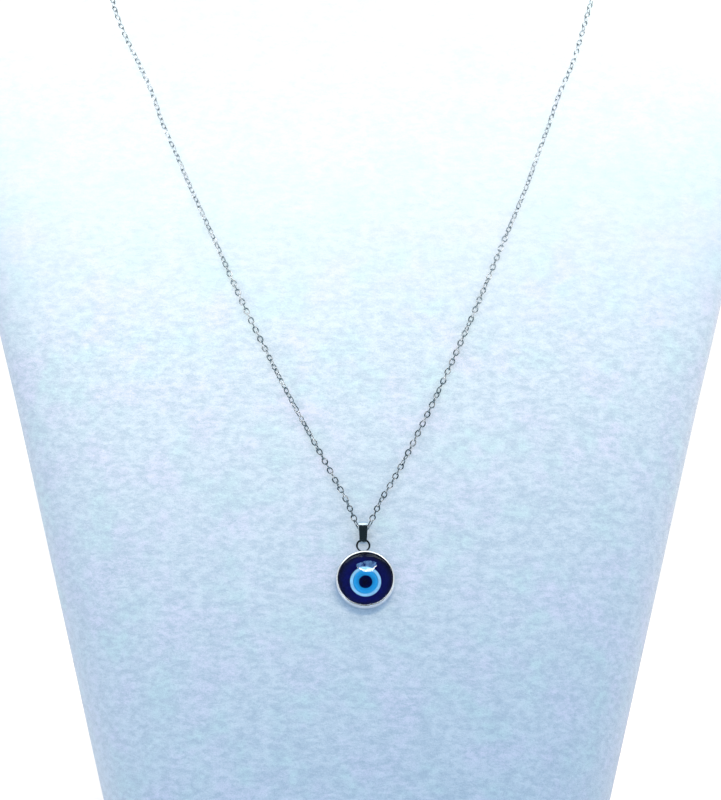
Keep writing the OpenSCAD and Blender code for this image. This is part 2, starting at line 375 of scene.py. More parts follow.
def make_piece(
    name: str,
    part: Part,
    material: bpy.types.Material,
    body: str,
    nodes: tuple[str, ...],
    shadow: bool = True,
) -> Object:
    """Makes a mesh object and ties it to the model.

    Args:
        name: The piece's name.
        part: Its vertices, faces and UVs.
        material: Its finish.
        body: The body that it rides on.
        nodes: The model's nodes that it stands for.
        shadow: Whether it casts a shadow.

    Returns:
        The object.
    """
    mesh = bpy.data.meshes.new(name)
    mesh.from_pydata(part.vertices.tolist(), [], [*part.quads.tolist(), *part.tris.tolist()])
    layer = mesh.uv_layers.new(name="UVMap")
    flat = np.concatenate([part.quad_uv.reshape(-1), part.tri_uv.reshape(-1)])
    layer.data.foreach_set("uv", flat.astype(np.float32))
    mesh.polygons.foreach_set("use_smooth", np.ones(len(mesh.polygons), bool))
    mesh.materials.append(material)
    mesh.update()
    piece = add_object(name, mesh)
    piece.visible_shadow = shadow
    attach(piece, body)
    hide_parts(*nodes)
    triangles = 2 * len(part.quads) + len(part.tris)
    LOG.info("%s: %d vertices, %d triangles, on %s", name, len(part.vertices), triangles, body)
    return piece


class Group:
    """A shader node group under construction, with shorthands for its nodes and links."""

    def __init__(self, tree: bpy.types.NodeTree) -> None:
        """Starts on an empty or a new tree."""
        self.tree = tree

    def node(self, kind: str, **values: Any) -> bpy.types.Node:
        """Adds a node and sets its properties and the plain values of its inputs.

        Args:
            kind: The node's type name.
            **values: Properties by name, or inputs by their name with a leading "in_" and with
                underscores for spaces.

        Returns:
            The node.
        """
        new = self.tree.nodes.new(kind)
        for name, value in values.items():
            if name.startswith("in_"):
                new.inputs[name[3:].replace("_", " ")].default_value = value
            else:
                setattr(new, name, value)
        return new

    def link(self, source: Any, target: Socket) -> None:
        """Links an output to an input, or sets the input to a plain value."""
        if isinstance(source, Socket):
            self.tree.links.new(source, target)
        else:
            target.default_value = source

    def place(self) -> Socket:
        """Adds a node for the Object coordinates and returns them."""
        return self.node("ShaderNodeTexCoord").outputs["Object"]

    def split(self, vector: Socket) -> Any:
        """Adds a node that splits a vector and returns its outputs, by X, Y and Z."""
        new = self.node("ShaderNodeSeparateXYZ")
        self.link(vector, new.inputs["Vector"])
        return new.outputs

    def stretched(self, vector: Socket, scale: tuple[float, ...]) -> Socket:
        """Adds a node that scales a vector along X, Y and Z and returns it."""
        new = self.node("ShaderNodeMapping", in_Scale=scale)
        self.link(vector, new.inputs["Vector"])
        return new.outputs["Vector"]

    def noise(
        self,
        vector: Socket,
        scale: Any,
        detail: float,
        roughness: float = 0.5,
        distortion: float = 0.0,
    ) -> Any:
        """Adds a Noise texture.

        Args:
            vector: Coordinates.
            scale: Socket or number, per metre.
            detail: Number of finer layers.
            roughness: Strength of each finer layer.
            distortion: Strength of the swirls.

        Returns:
            Its outputs, by Fac and Color.
        """
        new = self.node(
            "ShaderNodeTexNoise", in_Detail=detail, in_Roughness=roughness, in_Distortion=distortion
        )
        self.link(vector, new.inputs["Vector"])
        self.link(scale, new.inputs["Scale"])
        return new.outputs

    def bump(self, height: Socket, strength: Any, distance: float) -> Socket:
        """Adds a Bump node on a height and returns the tilted normal."""
        new = self.node("ShaderNodeBump", in_Distance=distance)
        self.link(strength, new.inputs["Strength"])
        self.link(height, new.inputs["Height"])
        return new.outputs["Normal"]

    def math(self, operation: str, a: Any, b: Any = 0.0) -> Socket:
        """Adds a Math node on two sockets or numbers and returns its output."""
        new = self.node("ShaderNodeMath", operation=operation)
        self.link(a, new.inputs[0])
        self.link(b, new.inputs[1])
        return new.outputs[0]

    def mix(self, share: Any, a: Any, b: Any) -> Socket:
        """Adds a colour Mix node and returns its result.

        Args:
            share: Socket or number, 0 for the first colour and 1 for the second.
            a: First colour, a socket or four numbers.
            b: Second colour, a socket or four numbers.

        Returns:
            The mixed colour's socket.
        """
        new = self.node("ShaderNodeMix", data_type="RGBA")
        for socket, value in zip((new.inputs["Factor"], new.inputs[6], new.inputs[7]), (share, a, b)):
            self.link(value, socket)
        return new.outputs[2]

    def scaled(self, value: Socket, low: Any, high: Any) -> Socket:
        """Maps a value from the range low to high onto 0 to 1, clamped and eased at both ends."""
        new = self.node("ShaderNodeMapRange", interpolation_type="SMOOTHSTEP")
        for name, given in (("Value", value), ("From Min", low), ("From Max", high)):
            self.link(given, new.inputs[name])
        return new.outputs["Result"]


def new_group(name: str, inputs: dict[str, str], outputs: dict[str, str]) -> Group:
    """Starts a shader node group with named sockets.

    Args:
        name: The group's name.
        inputs: Socket type by name.
        outputs: Socket type by name.

    Returns:
        The group, with its input and output nodes in place.
    """
    tree = bpy.data.node_groups.new(name, "ShaderNodeTree")
    for direction, sockets in (("INPUT", inputs), ("OUTPUT", outputs)):
        for socket, kind in sockets.items():
            tree.interface.new_socket(socket, in_out=direction, socket_type=kind)
    group = Group(tree)
    group.node("NodeGroupInput", name="in")
    group.node("NodeGroupOutput", name="out")
    return group


def handling_marks() -> bpy.types.NodeTree:
    """Builds the effect of faint wipe marks and fine scratches on bright metal.

    Two noises in Object coordinates, one coarse for wiped patches and one stretched along an axis for
    scratches, raise the roughness, dull the colour and tilt the normal a little.

    Returns:
        The node group.
    """
    group = new_group(
        "handling_marks",
        {"Scale": "NodeSocketFloat", "Roughness": "NodeSocketFloat", "Amount": "NodeSocketFloat",
         "Colour": "NodeSocketColor"},
        {"Roughness": "NodeSocketFloat", "Colour": "NodeSocketColor", "Normal": "NodeSocketVector"},
    )
    given, made = group.tree.nodes["in"].outputs, group.tree.nodes["out"].inputs
    dull_colour, scratch_depth = (0.3, 0.33, 0.36, 1), 0.004 * MM
    place = group.place()
    patches = group.noise(place, given["Scale"], 4.0, 0.6)
    scratches = group.noise(group.stretched(place, (9.0, 1.6, 1.0)), given["Scale"], 3.0, 0.7)
    marks = group.math("MULTIPLY", group.scaled(patches["Fac"], 0.42, 0.68), given["Amount"])
    rougher = group.math("ADD", given["Roughness"], group.math("MULTIPLY", marks, 0.5))
    darker = group.mix(group.math("MULTIPLY", marks, 0.6), given["Colour"], dull_colour)
    group.link(rougher, made["Roughness"])
    group.link(darker, made["Colour"])
    group.link(group.bump(scratches["Fac"], given["Amount"], scratch_depth), made["Normal"])
    return group.tree


def print_grain() -> bpy.types.NodeTree:
    """Builds the effect of a printed layer under glass: a soft speckle on a ring of two colours.

    The UV map holds the distance from the eye's middle in millimetres as U. The colour goes from the
    inner one to the outer one between two radii, and fine noise in Object coordinates varies it.

    Returns:
        The node group.
    """
    group = new_group(
        "print_grain",
        {"Inner": "NodeSocketColor", "Outer": "NodeSocketColor", "From": "NodeSocketFloat",
         "To": "NodeSocketFloat", "Speckle": "NodeSocketFloat"},
        {"Colour": "NodeSocketColor"},
    )
    given, made = group.tree.nodes["in"].outputs, group.tree.nodes["out"].inputs
    away = group.split(group.node("ShaderNodeUVMap", uv_map="UVMap").outputs["UV"])["X"]
    grain = group.noise(group.place(), 1800.0, 3.0, 0.6)["Fac"]
    wobble = group.math("MULTIPLY", group.math("SUBTRACT", grain, 0.5), 0.25)
    share = group.scaled(group.math("ADD", away, wobble), given["From"], given["To"])
    ring = group.mix(share, given["Inner"], given["Outer"])
    shade = group.math("MULTIPLY", group.scaled(grain, 0.35, 0.7), given["Speckle"])
    group.link(group.mix(shade, ring, (0.0, 0.0, 0.0, 1)), made["Colour"])
    return group.tree


class Effects:
    """The shader node groups that several finishes share, each built once."""

    def __init__(self) -> None:
        """Starts with none built."""
        self.built: dict[str, bpy.types.NodeTree] = {}

    def get(self, make: Callable[[], bpy.types.NodeTree]) -> bpy.types.NodeTree:
        """The group that a function makes, made on first use."""
        if make.__name__ not in self.built:
            self.built[make.__name__] = make()
        return self.built[make.__name__]


EFFECTS = Effects()


def new_material(name: str) -> tuple[bpy.types.Material, Group, bpy.types.Node]:
    """Starts a material with one Principled shader.

    Args:
        name: The material's name.

    Returns:
        The material, its tree and the shader node.
    """
    material = bpy.data.materials.new(name)
    material.use_nodes = True
    tree = Group(material.node_tree)
    return material, tree, material.node_tree.nodes["Principled BSDF"]


@dataclass(frozen=True)
class BrightMetal:
    """Plated metal with faint handling marks, and painted light where a piece is given it.

    Attributes:
        name: The material's name.
        colour: Colour of the metal.
        roughness: Roughness where it is clean.
        marks: Strength of the marks.
        scale: Scale of the marks, per metre.
        upper: Painted light: the colour that the metal takes higher up, lighter or darker than below.
        painted_glint: Colour of painted glints, patches painted bright as if they caught the light.
        rise: Heights between which the colour goes from the lower one to the upper one.
        glint_share: Values of a noise between which the metal turns into a painted glint.
    """

    name: str
    colour: Colour
    roughness: float
    marks: float
    scale: float
    upper: Colour | None = None
    painted_glint: Colour | None = None
    rise: tuple[float, float] = (0.125, 0.185)
    glint_share: tuple[float, float] = (0.5, 0.6)

    def material(self) -> bpy.types.Material:
        """Builds the material."""
        material, tree, shader = new_material(self.name)
        place = tree.place()
        colour: Any = self.colour
        # Painted light: the colour turns lighter or darker higher up.
        if self.upper:
            colour = tree.mix(tree.scaled(tree.split(place)["Z"], *self.rise), colour, self.upper)
        # Painted glints: noise patches painted bright, as if they caught the light.
        if self.painted_glint:
            share = tree.scaled(tree.noise(place, self.scale, 1.0)["Fac"], *self.glint_share)
            colour = tree.mix(share, colour, self.painted_glint)
        effect = tree.node(
            "ShaderNodeGroup", node_tree=EFFECTS.get(handling_marks), in_Scale=self.scale,
            in_Roughness=self.roughness, in_Amount=self.marks,
        )
        tree.link(colour, effect.inputs["Colour"])
        shader.inputs["Metallic"].default_value = 1.0
        tree.link(effect.outputs["Colour"], shader.inputs["Base Color"])
        tree.link(effect.outputs["Roughness"], shader.inputs["Roughness"])
        tree.link(effect.outputs["Normal"], shader.inputs["Normal"])
        return material


@dataclass(frozen=True)
class FlockedVelvet:
    """Short flocked pile, mottled where it lies in other directions.

    Attributes:
        name: The material's name.
        colour: Colour of the pile.
        cool: Colour of the pile that leans one way.
        violet: Colour of the pile that leans the other way.
        shade: Colour between the fibres.
        glare_fade: Heights between which the pile's shading fades out, painted light for the lamp's glare.
        glare_strength: Share of the pile's relief that the painted glare takes away.
        patches: Scale of the tinted patches, per metre.
        streaks: Scale of the lie of the fibres.
        fibres: Scale of the pile's points.
        tints: Values of a noise between which the pile takes a tint.
        hollows: Values of the lie between which it turns into a hollow, and the hollow's depth.
        points: The same for the pile's points.
        usual: Share of the shade in level pile.
    """

    name: str
    colour: Colour
    cool: Colour
    violet: Colour
    shade: Colour
    glare_fade: tuple[float, float] = (0.115, 0.165)
    glare_strength: float = 0.6
    patches: float = 85.0
    streaks: float = 720.0
    fibres: float = 3200.0
    tints: tuple[float, float] = (0.45, 0.68)
    hollows: tuple[float, float, float] = (0.68, 0.3, 0.8)
    points: tuple[float, float, float] = (0.65, 0.3, 0.4)
    usual: float = 0.6

    def material(self) -> bpy.types.Material:
        """Builds the material.

        Broad noise tints the pile cool or violet in patches, a noise stretched across the bust draws
        the lie of the fibres, and fine noise gives the pile's points and its bump. Towards the
        shoulders the pile's shading and its bump fade, as painted light for the lamp's glare there.

        Returns:
            The material.
        """
        material, tree, shader = new_material(self.name)
        place = tree.place()
        # Painted light: the pile's shading fades towards the shoulders, where the lamp's glare washes it
        # out.
        glare_fade = tree.scaled(tree.split(place)["Z"], *self.glare_fade)
        relief = tree.math("SUBTRACT", 1.0, tree.math("MULTIPLY", glare_fade, self.glare_strength))
        lean = tree.split(tree.noise(place, self.patches, 3.0, 0.6)["Color"])
        lie = tree.noise(tree.stretched(place, (0.48, 0.48, 1.0)), self.streaks, 6.0, 0.72, 0.2)["Fac"]
        pile = tree.noise(place, self.fibres, 2.0, 0.7)["Fac"]
        cooler = tree.mix(tree.scaled(lean["X"], *self.tints), self.colour, self.cool)
        tinted = tree.mix(tree.scaled(lean["Y"], *self.tints), cooler, self.violet)
        hollow, points = (
            tree.math("MULTIPLY", tree.scaled(value, high, low), depth)
            for value, (high, low, depth) in ((lie, self.hollows), (pile, self.points))
        )
        swing = tree.math("SUBTRACT", tree.math("ADD", hollow, points), self.usual)
        depth = tree.math("ADD", tree.math("MULTIPLY", swing, relief), self.usual)
        tree.link(tree.mix(depth, tinted, self.shade), shader.inputs["Base Color"])
        raised = tree.math("ADD", tree.math("MULTIPLY", lie, 0.8), tree.math("MULTIPLY", pile, 0.3))
        tree.link(tree.bump(tree.math("MULTIPLY", raised, relief), 0.5, 0.4 * MM), shader.inputs["Normal"])
        shader.inputs["Roughness"].default_value = 0.95
        shader.inputs["Specular IOR Level"].default_value = 0.1
        shader.inputs["Sheen Weight"].default_value = 0.35
        shader.inputs["Sheen Roughness"].default_value = 0.5
        return material


@dataclass(frozen=True)
class PrintedLayer:
    """One colour of the eye's print.

    Attributes:
        name: The material's name.
        inner: Colour towards the middle.
        outer: Colour towards the rim.
        start: Distance from the middle, in millimetres, where the colour starts to change.
        end: Distance where it has changed.
        speckle: Strength of the print's speckle.
    """

    name: str
    inner: Colour
    outer: Colour
    start: float
    end: float
    speckle: float

    def material(self) -> bpy.types.Material:
        """Builds the material."""
        material, tree, shader = new_material(self.name)
        effect = tree.node(
            "ShaderNodeGroup", node_tree=EFFECTS.get(print_grain), in_Inner=self.inner,
            in_Outer=self.outer, in_From=self.start, in_To=self.end, in_Speckle=self.speckle,
        )
        tree.link(effect.outputs["Colour"], shader.inputs["Base Color"])
        shader.inputs["Roughness"].default_value = 0.6
        shader.inputs["Specular IOR Level"].default_value = 0.0
        return material


@dataclass(frozen=True)
class ClearGlass:
    """Clear polished glass.

    Attributes:
        name: The material's name.
        colour: Tint of what is seen through it.
        ior: Index of refraction.
        ripple: Scale of the ripple on it, per metre.
        waver: Strength of the ripple.
    """

    name: str
    colour: Colour
    ior: float
    ripple: float = 420.0
    waver: float = 0.05

    def material(self) -> bpy.types.Material:
        """Builds the material.

        A very faint noise tilts the normal, as on pressed glass, so that its reflections waver.

        Returns:
            The material.
        """
        material, tree, shader = new_material(self.name)
        shader.inputs["Base Color"].default_value = self.colour
        shader.inputs["Roughness"].default_value = 0.0
        shader.inputs["IOR"].default_value = self.ior
        shader.inputs["Transmission Weight"].default_value = 1.0
        height = tree.noise(tree.place(), self.ripple, 1.0)["Fac"]
        tree.link(tree.bump(height, self.waver, 0.02 * MM), shader.inputs["Normal"])
        return material


VELVET = FlockedVelvet(
    "pale_blue_velvet",
    colour=(0.369, 0.536, 0.738, 1),
    cool=(0.336, 0.553, 0.717, 1),
    violet=(0.393, 0.517, 0.768, 1),
    shade=(0.25, 0.391, 0.577, 1),
)
# Painted light: the chain is painted darker than the clasp, lighter up high, and with painted glints.
CHAIN_METAL = BrightMetal(
    "chain_metal", (0.21, 0.29, 0.34, 1), 0.14, 0.25, 900.0, upper=(0.46, 0.52, 0.57, 1),
    painted_glint=(0.92, 0.95, 0.98, 1),
)
CLASP_METAL = BrightMetal("clasp_metal", (0.6, 0.65, 0.69, 1), 0.14, 0.3, 500.0)
BAIL_METAL = BrightMetal("bail_metal", (0.56, 0.69, 0.8, 1), 0.12, 0.35, 700.0)
SETTING_METAL = BrightMetal("setting_metal", (0.5, 0.55, 0.6, 1), 0.07, 0.25, 500.0)
# Painted light: the ring is painted bright at its foot as a highlight by the solder, and dark above as
# shade.
RING_METAL = BrightMetal(
    "ring_metal", (0.8, 0.84, 0.9, 1), 0.1, 0.25, 500.0, upper=(0.14, 0.18, 0.22, 1),
    rise=(0.0755, 0.0765),
)
# The navy's darker outer colour is painted shade towards the cup's wall, under the glass's edge.
NAVY_PRINT = PrintedLayer("navy_print", (0.0035, 0.006, 0.09, 1), (0.005, 0.008, 0.038, 1), 4.4, 6.1, 0.3)
WHITE_PRINT = PrintedLayer("white_print", (0.05, 0.38, 0.76, 1), (0.22, 0.52, 0.83, 1), 2.5, 3.0, 0.08)
BLUE_PRINT = PrintedLayer("light_blue_print", (0.01, 0.22, 0.6, 1), (0.018, 0.3, 0.72, 1), 1.5, 2.5, 0.12)
BLACK_PRINT = PrintedLayer("black_print", (0.0015, 0.0005, 0.017, 1), (0.0, 0.003, 0.055, 1), 0.3, 1.3, 0.2)
GLASS = ClearGlass("clear_glass", (0.97, 0.98, 1.0, 1), 1.5)


@dataclass
class NeckBust:
    """Velvet display bust: chest, shoulders and the stump of the neck.

    Attributes:
        height: Height from the base to the top of the neck.
        width: Width across the shoulder tips.
        depth: Depth from the foot of the chest to the back of the neck.
        square: Power of the superellipse of a level section.
        sections: Level sections. Height is a share of the bust's height, half width of half its
            width, and the front, side and back lie at shares of its depth from the middle.
        sides: Points round a section.
        steps: Rows between two sections.
        edge: Radius of the rounded edges at the base and the top.
        closing: Shares to which the rows shrink that close the base and the top.
    """

    height: float = 270 * MM
    width: float = 206 * MM
    depth: float = 125 * MM
    square: float = 2.5
    sections: Rows = (
        (0, 0.597, -0.5, -0.02, 0.34), (0.13, 0.681, -0.393, 0.012, 0.352),
        (0.27, 0.77, -0.273, 0.052, 0.368), (0.4, 0.853, -0.159, 0.092, 0.384),
        (0.53, 0.938, -0.046, 0.132, 0.4), (0.65, 0.995, 0.052, 0.176, 0.416),
        (0.7, 1, 0.089, 0.2, 0.424), (0.74, 0.962, 0.115, 0.224, 0.432),
        (0.775, 0.852, 0.135, 0.244, 0.44), (0.81, 0.727, 0.152, 0.264, 0.448),
        (0.845, 0.612, 0.166, 0.282, 0.464), (0.88, 0.524, 0.175, 0.298, 0.476),
        (0.925, 0.46, 0.184, 0.314, 0.482), (0.985, 0.443, 0.192, 0.326, 0.482),
        (1, 0.413, 0.216, 0.326, 0.458),
    )
    sides: int = 288
    steps: int = 12
    edge: float = 1.6 * MM
    closing: tuple[float, ...] = (0.97, 0.85, 0.6, 0.3, 0.06)

    def table(self) -> Array:
        """The sections as an array."""
        return np.array(self.sections)

    def on(self, turn: Array, share: Array) -> Array:
        """Points on the velvet at turns round it and shares of its height.

        A section is a superellipse, and its point at a turn lies where the sum of the powers of
        cosine over half width and of sine over depth makes one.

        Args:
            turn: Turns in degrees, with -90 in front.
            share: Shares of the height.

        Returns:
            One point for each pair.
        """
        row = read_table(self.table(), np.asarray(share, float))
        a = np.radians(turn)
        half = row[..., 1] * self.width / 2
        depth = np.where(np.sin(a) < 0, row[..., 3] - row[..., 2], row[..., 4] - row[..., 3]) * self.depth
        reach = (
            np.abs(np.cos(a) / half) ** self.square + np.abs(np.sin(a) / depth) ** self.square
        ) ** (-1 / self.square)
        y = row[..., 3] * self.depth + reach * np.sin(a)
        return np.stack([reach * np.cos(a), y, np.asarray(share) * self.height], -1)

    def outward(self, turn: Array, share: Array) -> Array:
        """Directions straight out of the velvet, from the cross product of its two slopes."""
        turn, share = np.asarray(turn, float), np.asarray(share, float)
        d_turn, d_share = 0.1, 0.0005
        round_it = self.on(turn + d_turn, share) - self.on(turn - d_turn, share)
        up_it = self.on(turn, share + d_share) - self.on(turn, share - d_share)
        return unit(np.cross(round_it, up_it))

    def off(self, turn: Array, share: Array, lift: Array) -> Array:
        """Points at a distance straight out of the velvet."""
        return self.on(turn, share) + np.asarray(lift)[..., None] * self.outward(turn, share)

    def rings(self) -> Array:
        """Level rings of points from the base to the top, closer where a section bends.

        A point's X is the half width times the cosine, and its Y the depth times the sine, each
        raised to two over the superellipse's power with its sign kept.

        Returns:
            Grid of points, one row for each ring.
        """
        rows = smooth_rows(self.table(), self.steps)[:, None, :]
        a = full_turn(self.sides)[None, :]
        power = 2 / self.square
        depth = np.where(np.sin(a) < 0, rows[..., 3] - rows[..., 2], rows[..., 4] - rows[..., 3])
        x = np.sign(np.cos(a)) * np.abs(np.cos(a)) ** power * rows[..., 1] * self.width / 2
        y = (rows[..., 3] + np.sign(np.sin(a)) * np.abs(np.sin(a)) ** power * depth) * self.depth
        return np.stack([x, y, rows[..., 0] * self.height + 0 * a], -1)

    def cap(self, ring: Array, inward: float, steps: int = 5) -> Array:
        """Rows that round a ring's edge over and close it towards its middle.

        The edge is a quarter circle: each row moves in by the radius times one less the cosine, and
        along Z by the radius times the sine. Then the rows shrink towards the middle.

        Args:
            ring: The outermost ring.
            inward: Distance along Z that the rounding takes, negative to go down.
            steps: Stretches of the rounding.

        Returns:
            Grid of points that starts just after the ring.
        """
        middle = ring.mean(0)
        flat = ring - middle
        reach = np.linalg.norm(flat, axis=1, keepdims=True)
        a = (np.arange(1, steps + 1) / steps * np.pi / 2)[:, None, None]
        rounding = middle + flat * (1 - abs(inward) * (1 - np.cos(a)) / reach)
        rounding[..., 2] = ring[0, 2] + inward * np.sin(a[..., 0])
        flat_rows = middle + (rounding[-1] - middle) * np.array(self.closing)[:, None, None]
        flat_rows[..., 2] = rounding[-1, 0, 2]
        return np.vstack([rounding, flat_rows])

    def build(self) -> None:
        """Makes the bust with rounded edges, within the model's height."""
        grid = self.rings()
        inner = grid[(grid[:, 0, 2] > self.edge) & (grid[:, 0, 2] < self.height - self.edge)]
        foot, top = self.section_at(self.edge), self.section_at(self.height - self.edge)
        base, crown = self.cap(foot, -self.edge)[::-1], self.cap(top, self.edge)
        points = np.vstack([base, foot[None], inner, top[None], crown])
        part = Surface(points, Ends.POLES, (1 / self.sides, 1 / len(points))).build()
        make_piece("velvet_bust", part, VELVET.material(), "stand", ("neck_bust",))

    def section_at(self, z: float) -> Array:
        """The ring of points at a height, between the two nearest rings."""
        grid = self.rings()
        heights = grid[:, 0, 2]
        k = int(np.clip(np.searchsorted(heights, z) - 1, 0, len(heights) - 2))
        t = (z - heights[k]) / (heights[k + 1] - heights[k])
        return grid[k] * (1 - t) + grid[k + 1] * t


@dataclass
class Hanging:
    """Sizes and places that the bail and the pendant share.

    Attributes:
        bust: The bust that carries the chain.
        gap: Air between the velvet and what lies on it.
        eye_r: Inside radius of the bail's large eye.
        hook_r: Inside radius of the bail's small eye.
        reach: Distance between the middles of the two eyes.
        strip: Thickness of the bail's strip.
        cup_r: Outside radius of the cup.
        cup_h: Height of the cup.
        ring_r: Radius of the soldered ring, to the middle of its wire.
        ring_stand: Distance from the cup's wall to the middle of the ring's wire.
        ring_drop: How far the ring's middle lies below the middle of the small eye.
        roll: Turn of the pendant to the side, in degrees.
        turn: Turn round the bust where the bail hangs.
        share: Share of the bust's height there.
    """

    bust: NeckBust
    gap: float = 0.3 * MM
    eye_r: float = 1.4 * MM
    hook_r: float = 0.5 * MM
    reach: float = 2.9 * MM
    strip: float = 0.3 * MM
    cup_r: float = 7.1 * MM
    cup_h: float = 2.0 * MM
    ring_r: float = 1.54 * MM
    ring_stand: float = 0.06 * MM
    ring_drop: float = 1.38 * MM
    roll: float = 3.5
    turn: float = -87.7
    share: float = 0.2955

    def lean(self) -> float:
        """Backward lean of the chest behind the bail, in degrees."""
        step = 0.01
        rise = self.bust.on(self.turn, self.share + step) - self.bust.on(self.turn, self.share - step)
        return math.degrees(math.atan2(rise[1], rise[2]))

    def seat(self) -> float:
        """Distance of the bail's large eye from the velvet."""
        return self.eye_r + self.strip + self.gap

    def hung(self) -> Place:
        """Frame of the bail's large eye: +Y into the chest and +Z up along it."""
        at = self.bust.off(self.turn, self.share, self.seat())
        return Place(at, about_x(-self.lean()))

    def hook(self) -> tuple[float, float]:
        """How far the small eye lies into the chest and down from the large eye."""
        inward = self.seat() - (self.cup_h / 2 + self.gap)
        return inward, math.sqrt(self.reach**2 - inward**2)

    def bail(self) -> Place:
        """Frame of the bail: the large eye's middle, with the small eye straight below it."""
        inward, _ = self.hook()
        return self.hung().inner(np.zeros(3), about_x(math.degrees(math.asin(inward / self.reach))))

    def ring_to_cup(self) -> float:
        """Distance from the ring's middle to the cup's."""
        return self.cup_r + self.ring_stand + self.ring_r

    def cup(self) -> Place:
        """Frame of the cup: its back lies on XY, +Z points out of it and +Y to the ring."""
        inward, down = self.hook()
        ring = self.hung().inner(np.array([0, inward, -down - self.ring_drop]), about_y(-self.roll))
        return ring.inner(np.array([0, self.cup_h / 2, -self.ring_to_cup()]), about_x(90))


@dataclass
class ChainRoute:
    """The chain's way round the bust, on one smooth curve.

    Attributes:
        bust: The bust that it lies on.
        hanging: Sizes of what hangs from it.
        left: Rows from the clasp round the left shoulder: turn, share of the height, and how far the
            chain has risen to the height of the bail and of the clasp.
        right: Rows back round the right shoulder, the same way.
        bight: The stretch through the bail: across as a share of the bail's width, and up as a
            share of the large eye's radius.
        bail_w: Width of the bail's strip at the top.
        chain_r: Half the thickness of the tube that stands for the chain.
        clasp_r: Radius of the clasp.
        clasp_half: Half the length of the clasp, with its air.
        nape: Turn and share of the height where the clasp lies.
    """

    bust: NeckBust
    hanging: Hanging
    left: Rows = (
        (-248, 0.871, 0, 0.5), (-232, 0.871, 0, 0.15), (-214, 0.871, 0, 0.1), (-200, 0.87, 0, 0.15),
        (-189, 0.866, 0, 0.2), (-181, 0.854, 0, 0.25), (-175, 0.832, 0, 0.2), (-171.5, 0.8, 0, 0.15),
        (-168, 0.74, 0, 0.05), (-165.2, 0.68, 0, 0), (-159.5, 0.62, 0, 0), (-151.1, 0.56, 0, 0),
        (-140, 0.5, 0, 0), (-125.5, 0.44, 0, 0), (-111.9, 0.39, 0, 0), (-101, 0.35, 0.05, 0),
        (-94.3, 0.323, 0.4, 0),
    )
    right: Rows = (
        (-80.5, 0.323, 0.4, 0), (-73.3, 0.35, 0.05, 0), (-63.2, 0.39, 0, 0), (-51.1, 0.44, 0, 0),
        (-38.2, 0.5, 0, 0), (-28, 0.56, 0, 0), (-20.2, 0.62, 0, 0), (-15, 0.68, 0, 0),
        (-12.2, 0.74, 0, 0.05), (-9.4, 0.8, 0, 0.15), (-5.2, 0.832, 0, 0.2), (1, 0.854, 0, 0.25),
        (9, 0.866, 0, 0.2), (20, 0.87, 0, 0.15), (34, 0.871, 0, 0.1), (52, 0.871, 0, 0.15),
        (68, 0.871, 0, 0.5),
    )
    bight: Rows = (
        (-0.96, 1.88), (-0.71, 0.75), (-0.49, -0.02), (-0.25, -0.28), (0, -0.32),
        (0.25, -0.28), (0.49, -0.02), (0.71, 0.75), (0.96, 1.88),
    )
    bail_w: float = 2.35 * MM
    chain_r: float = 0.5 * MM
    clasp_r: float = 1.5 * MM
    clasp_half: float = 4.65 * MM
    nape: tuple[float, float] = (90, 0.871)

    def lift(self, rows: Array) -> Array:
        """Height of the chain's middle line over the velvet, for rows of the route."""
        seat = self.chain_r + self.hanging.gap
        to_bail = self.hanging.seat() - seat
        to_clasp = self.clasp_r + self.hanging.gap - seat
        return seat + rows[:, 2] * to_bail + rows[:, 3] * to_clasp

    def stretch(self, rows: Rows) -> tuple[Array, Array]:
        """Points of one side's stretch and the directions out of the velvet there.

        Args:
            rows: Rows of the route.

        Returns:
            The points and the directions.
        """
        fine = smooth_rows(np.array(rows, float), 2)
        turn, share = fine[:, 0], fine[:, 1]
        return self.bust.off(turn, share, self.lift(fine)), self.bust.outward(turn, share)

    def through_bail(self) -> tuple[Array, Array]:
        """Points of the bight and the directions out of the chest there."""
        rows = np.array(self.bight)
        local = np.stack(
            [rows[:, 0] * self.bail_w, 0 * rows[:, 0], rows[:, 1] * self.hanging.eye_r], -1
        )
        place = self.hanging.hung()
        return place.out(local), np.repeat(-place.axes[1][None], len(rows), 0)

    def nape_at(self) -> Array:
        """Middle of the clasp."""
        return self.bust.off(*self.nape, self.clasp_r + self.hanging.gap)

    def curve(self) -> tuple[Array, Array, float]:
        """The whole route, drawn smooth between its points.

        Returns:
            The fine points, the directions out of the bust at each, and the distance along the curve
            where it passes through the middle of the bail.
        """
        nape = self.nape_at()
        half = np.array([[self.clasp_half, 0, 0]])
        out = self.bust.outward(*self.nape)[None]
        left, bight, right = self.stretch(self.left), self.through_bail(), self.stretch(self.right)
        points = np.vstack([nape - half, left[0], bight[0], right[0], nape + half])
        outs = np.vstack([out, left[1], bight[1], right[1], out])
        fine_steps = 12
        fine = smooth_rows(points, fine_steps)
        middle = (1 + len(left[0]) + len(bight[0]) // 2) * fine_steps
        return fine, unit(smooth_rows(outs, fine_steps)), float(lengths(fine)[middle])


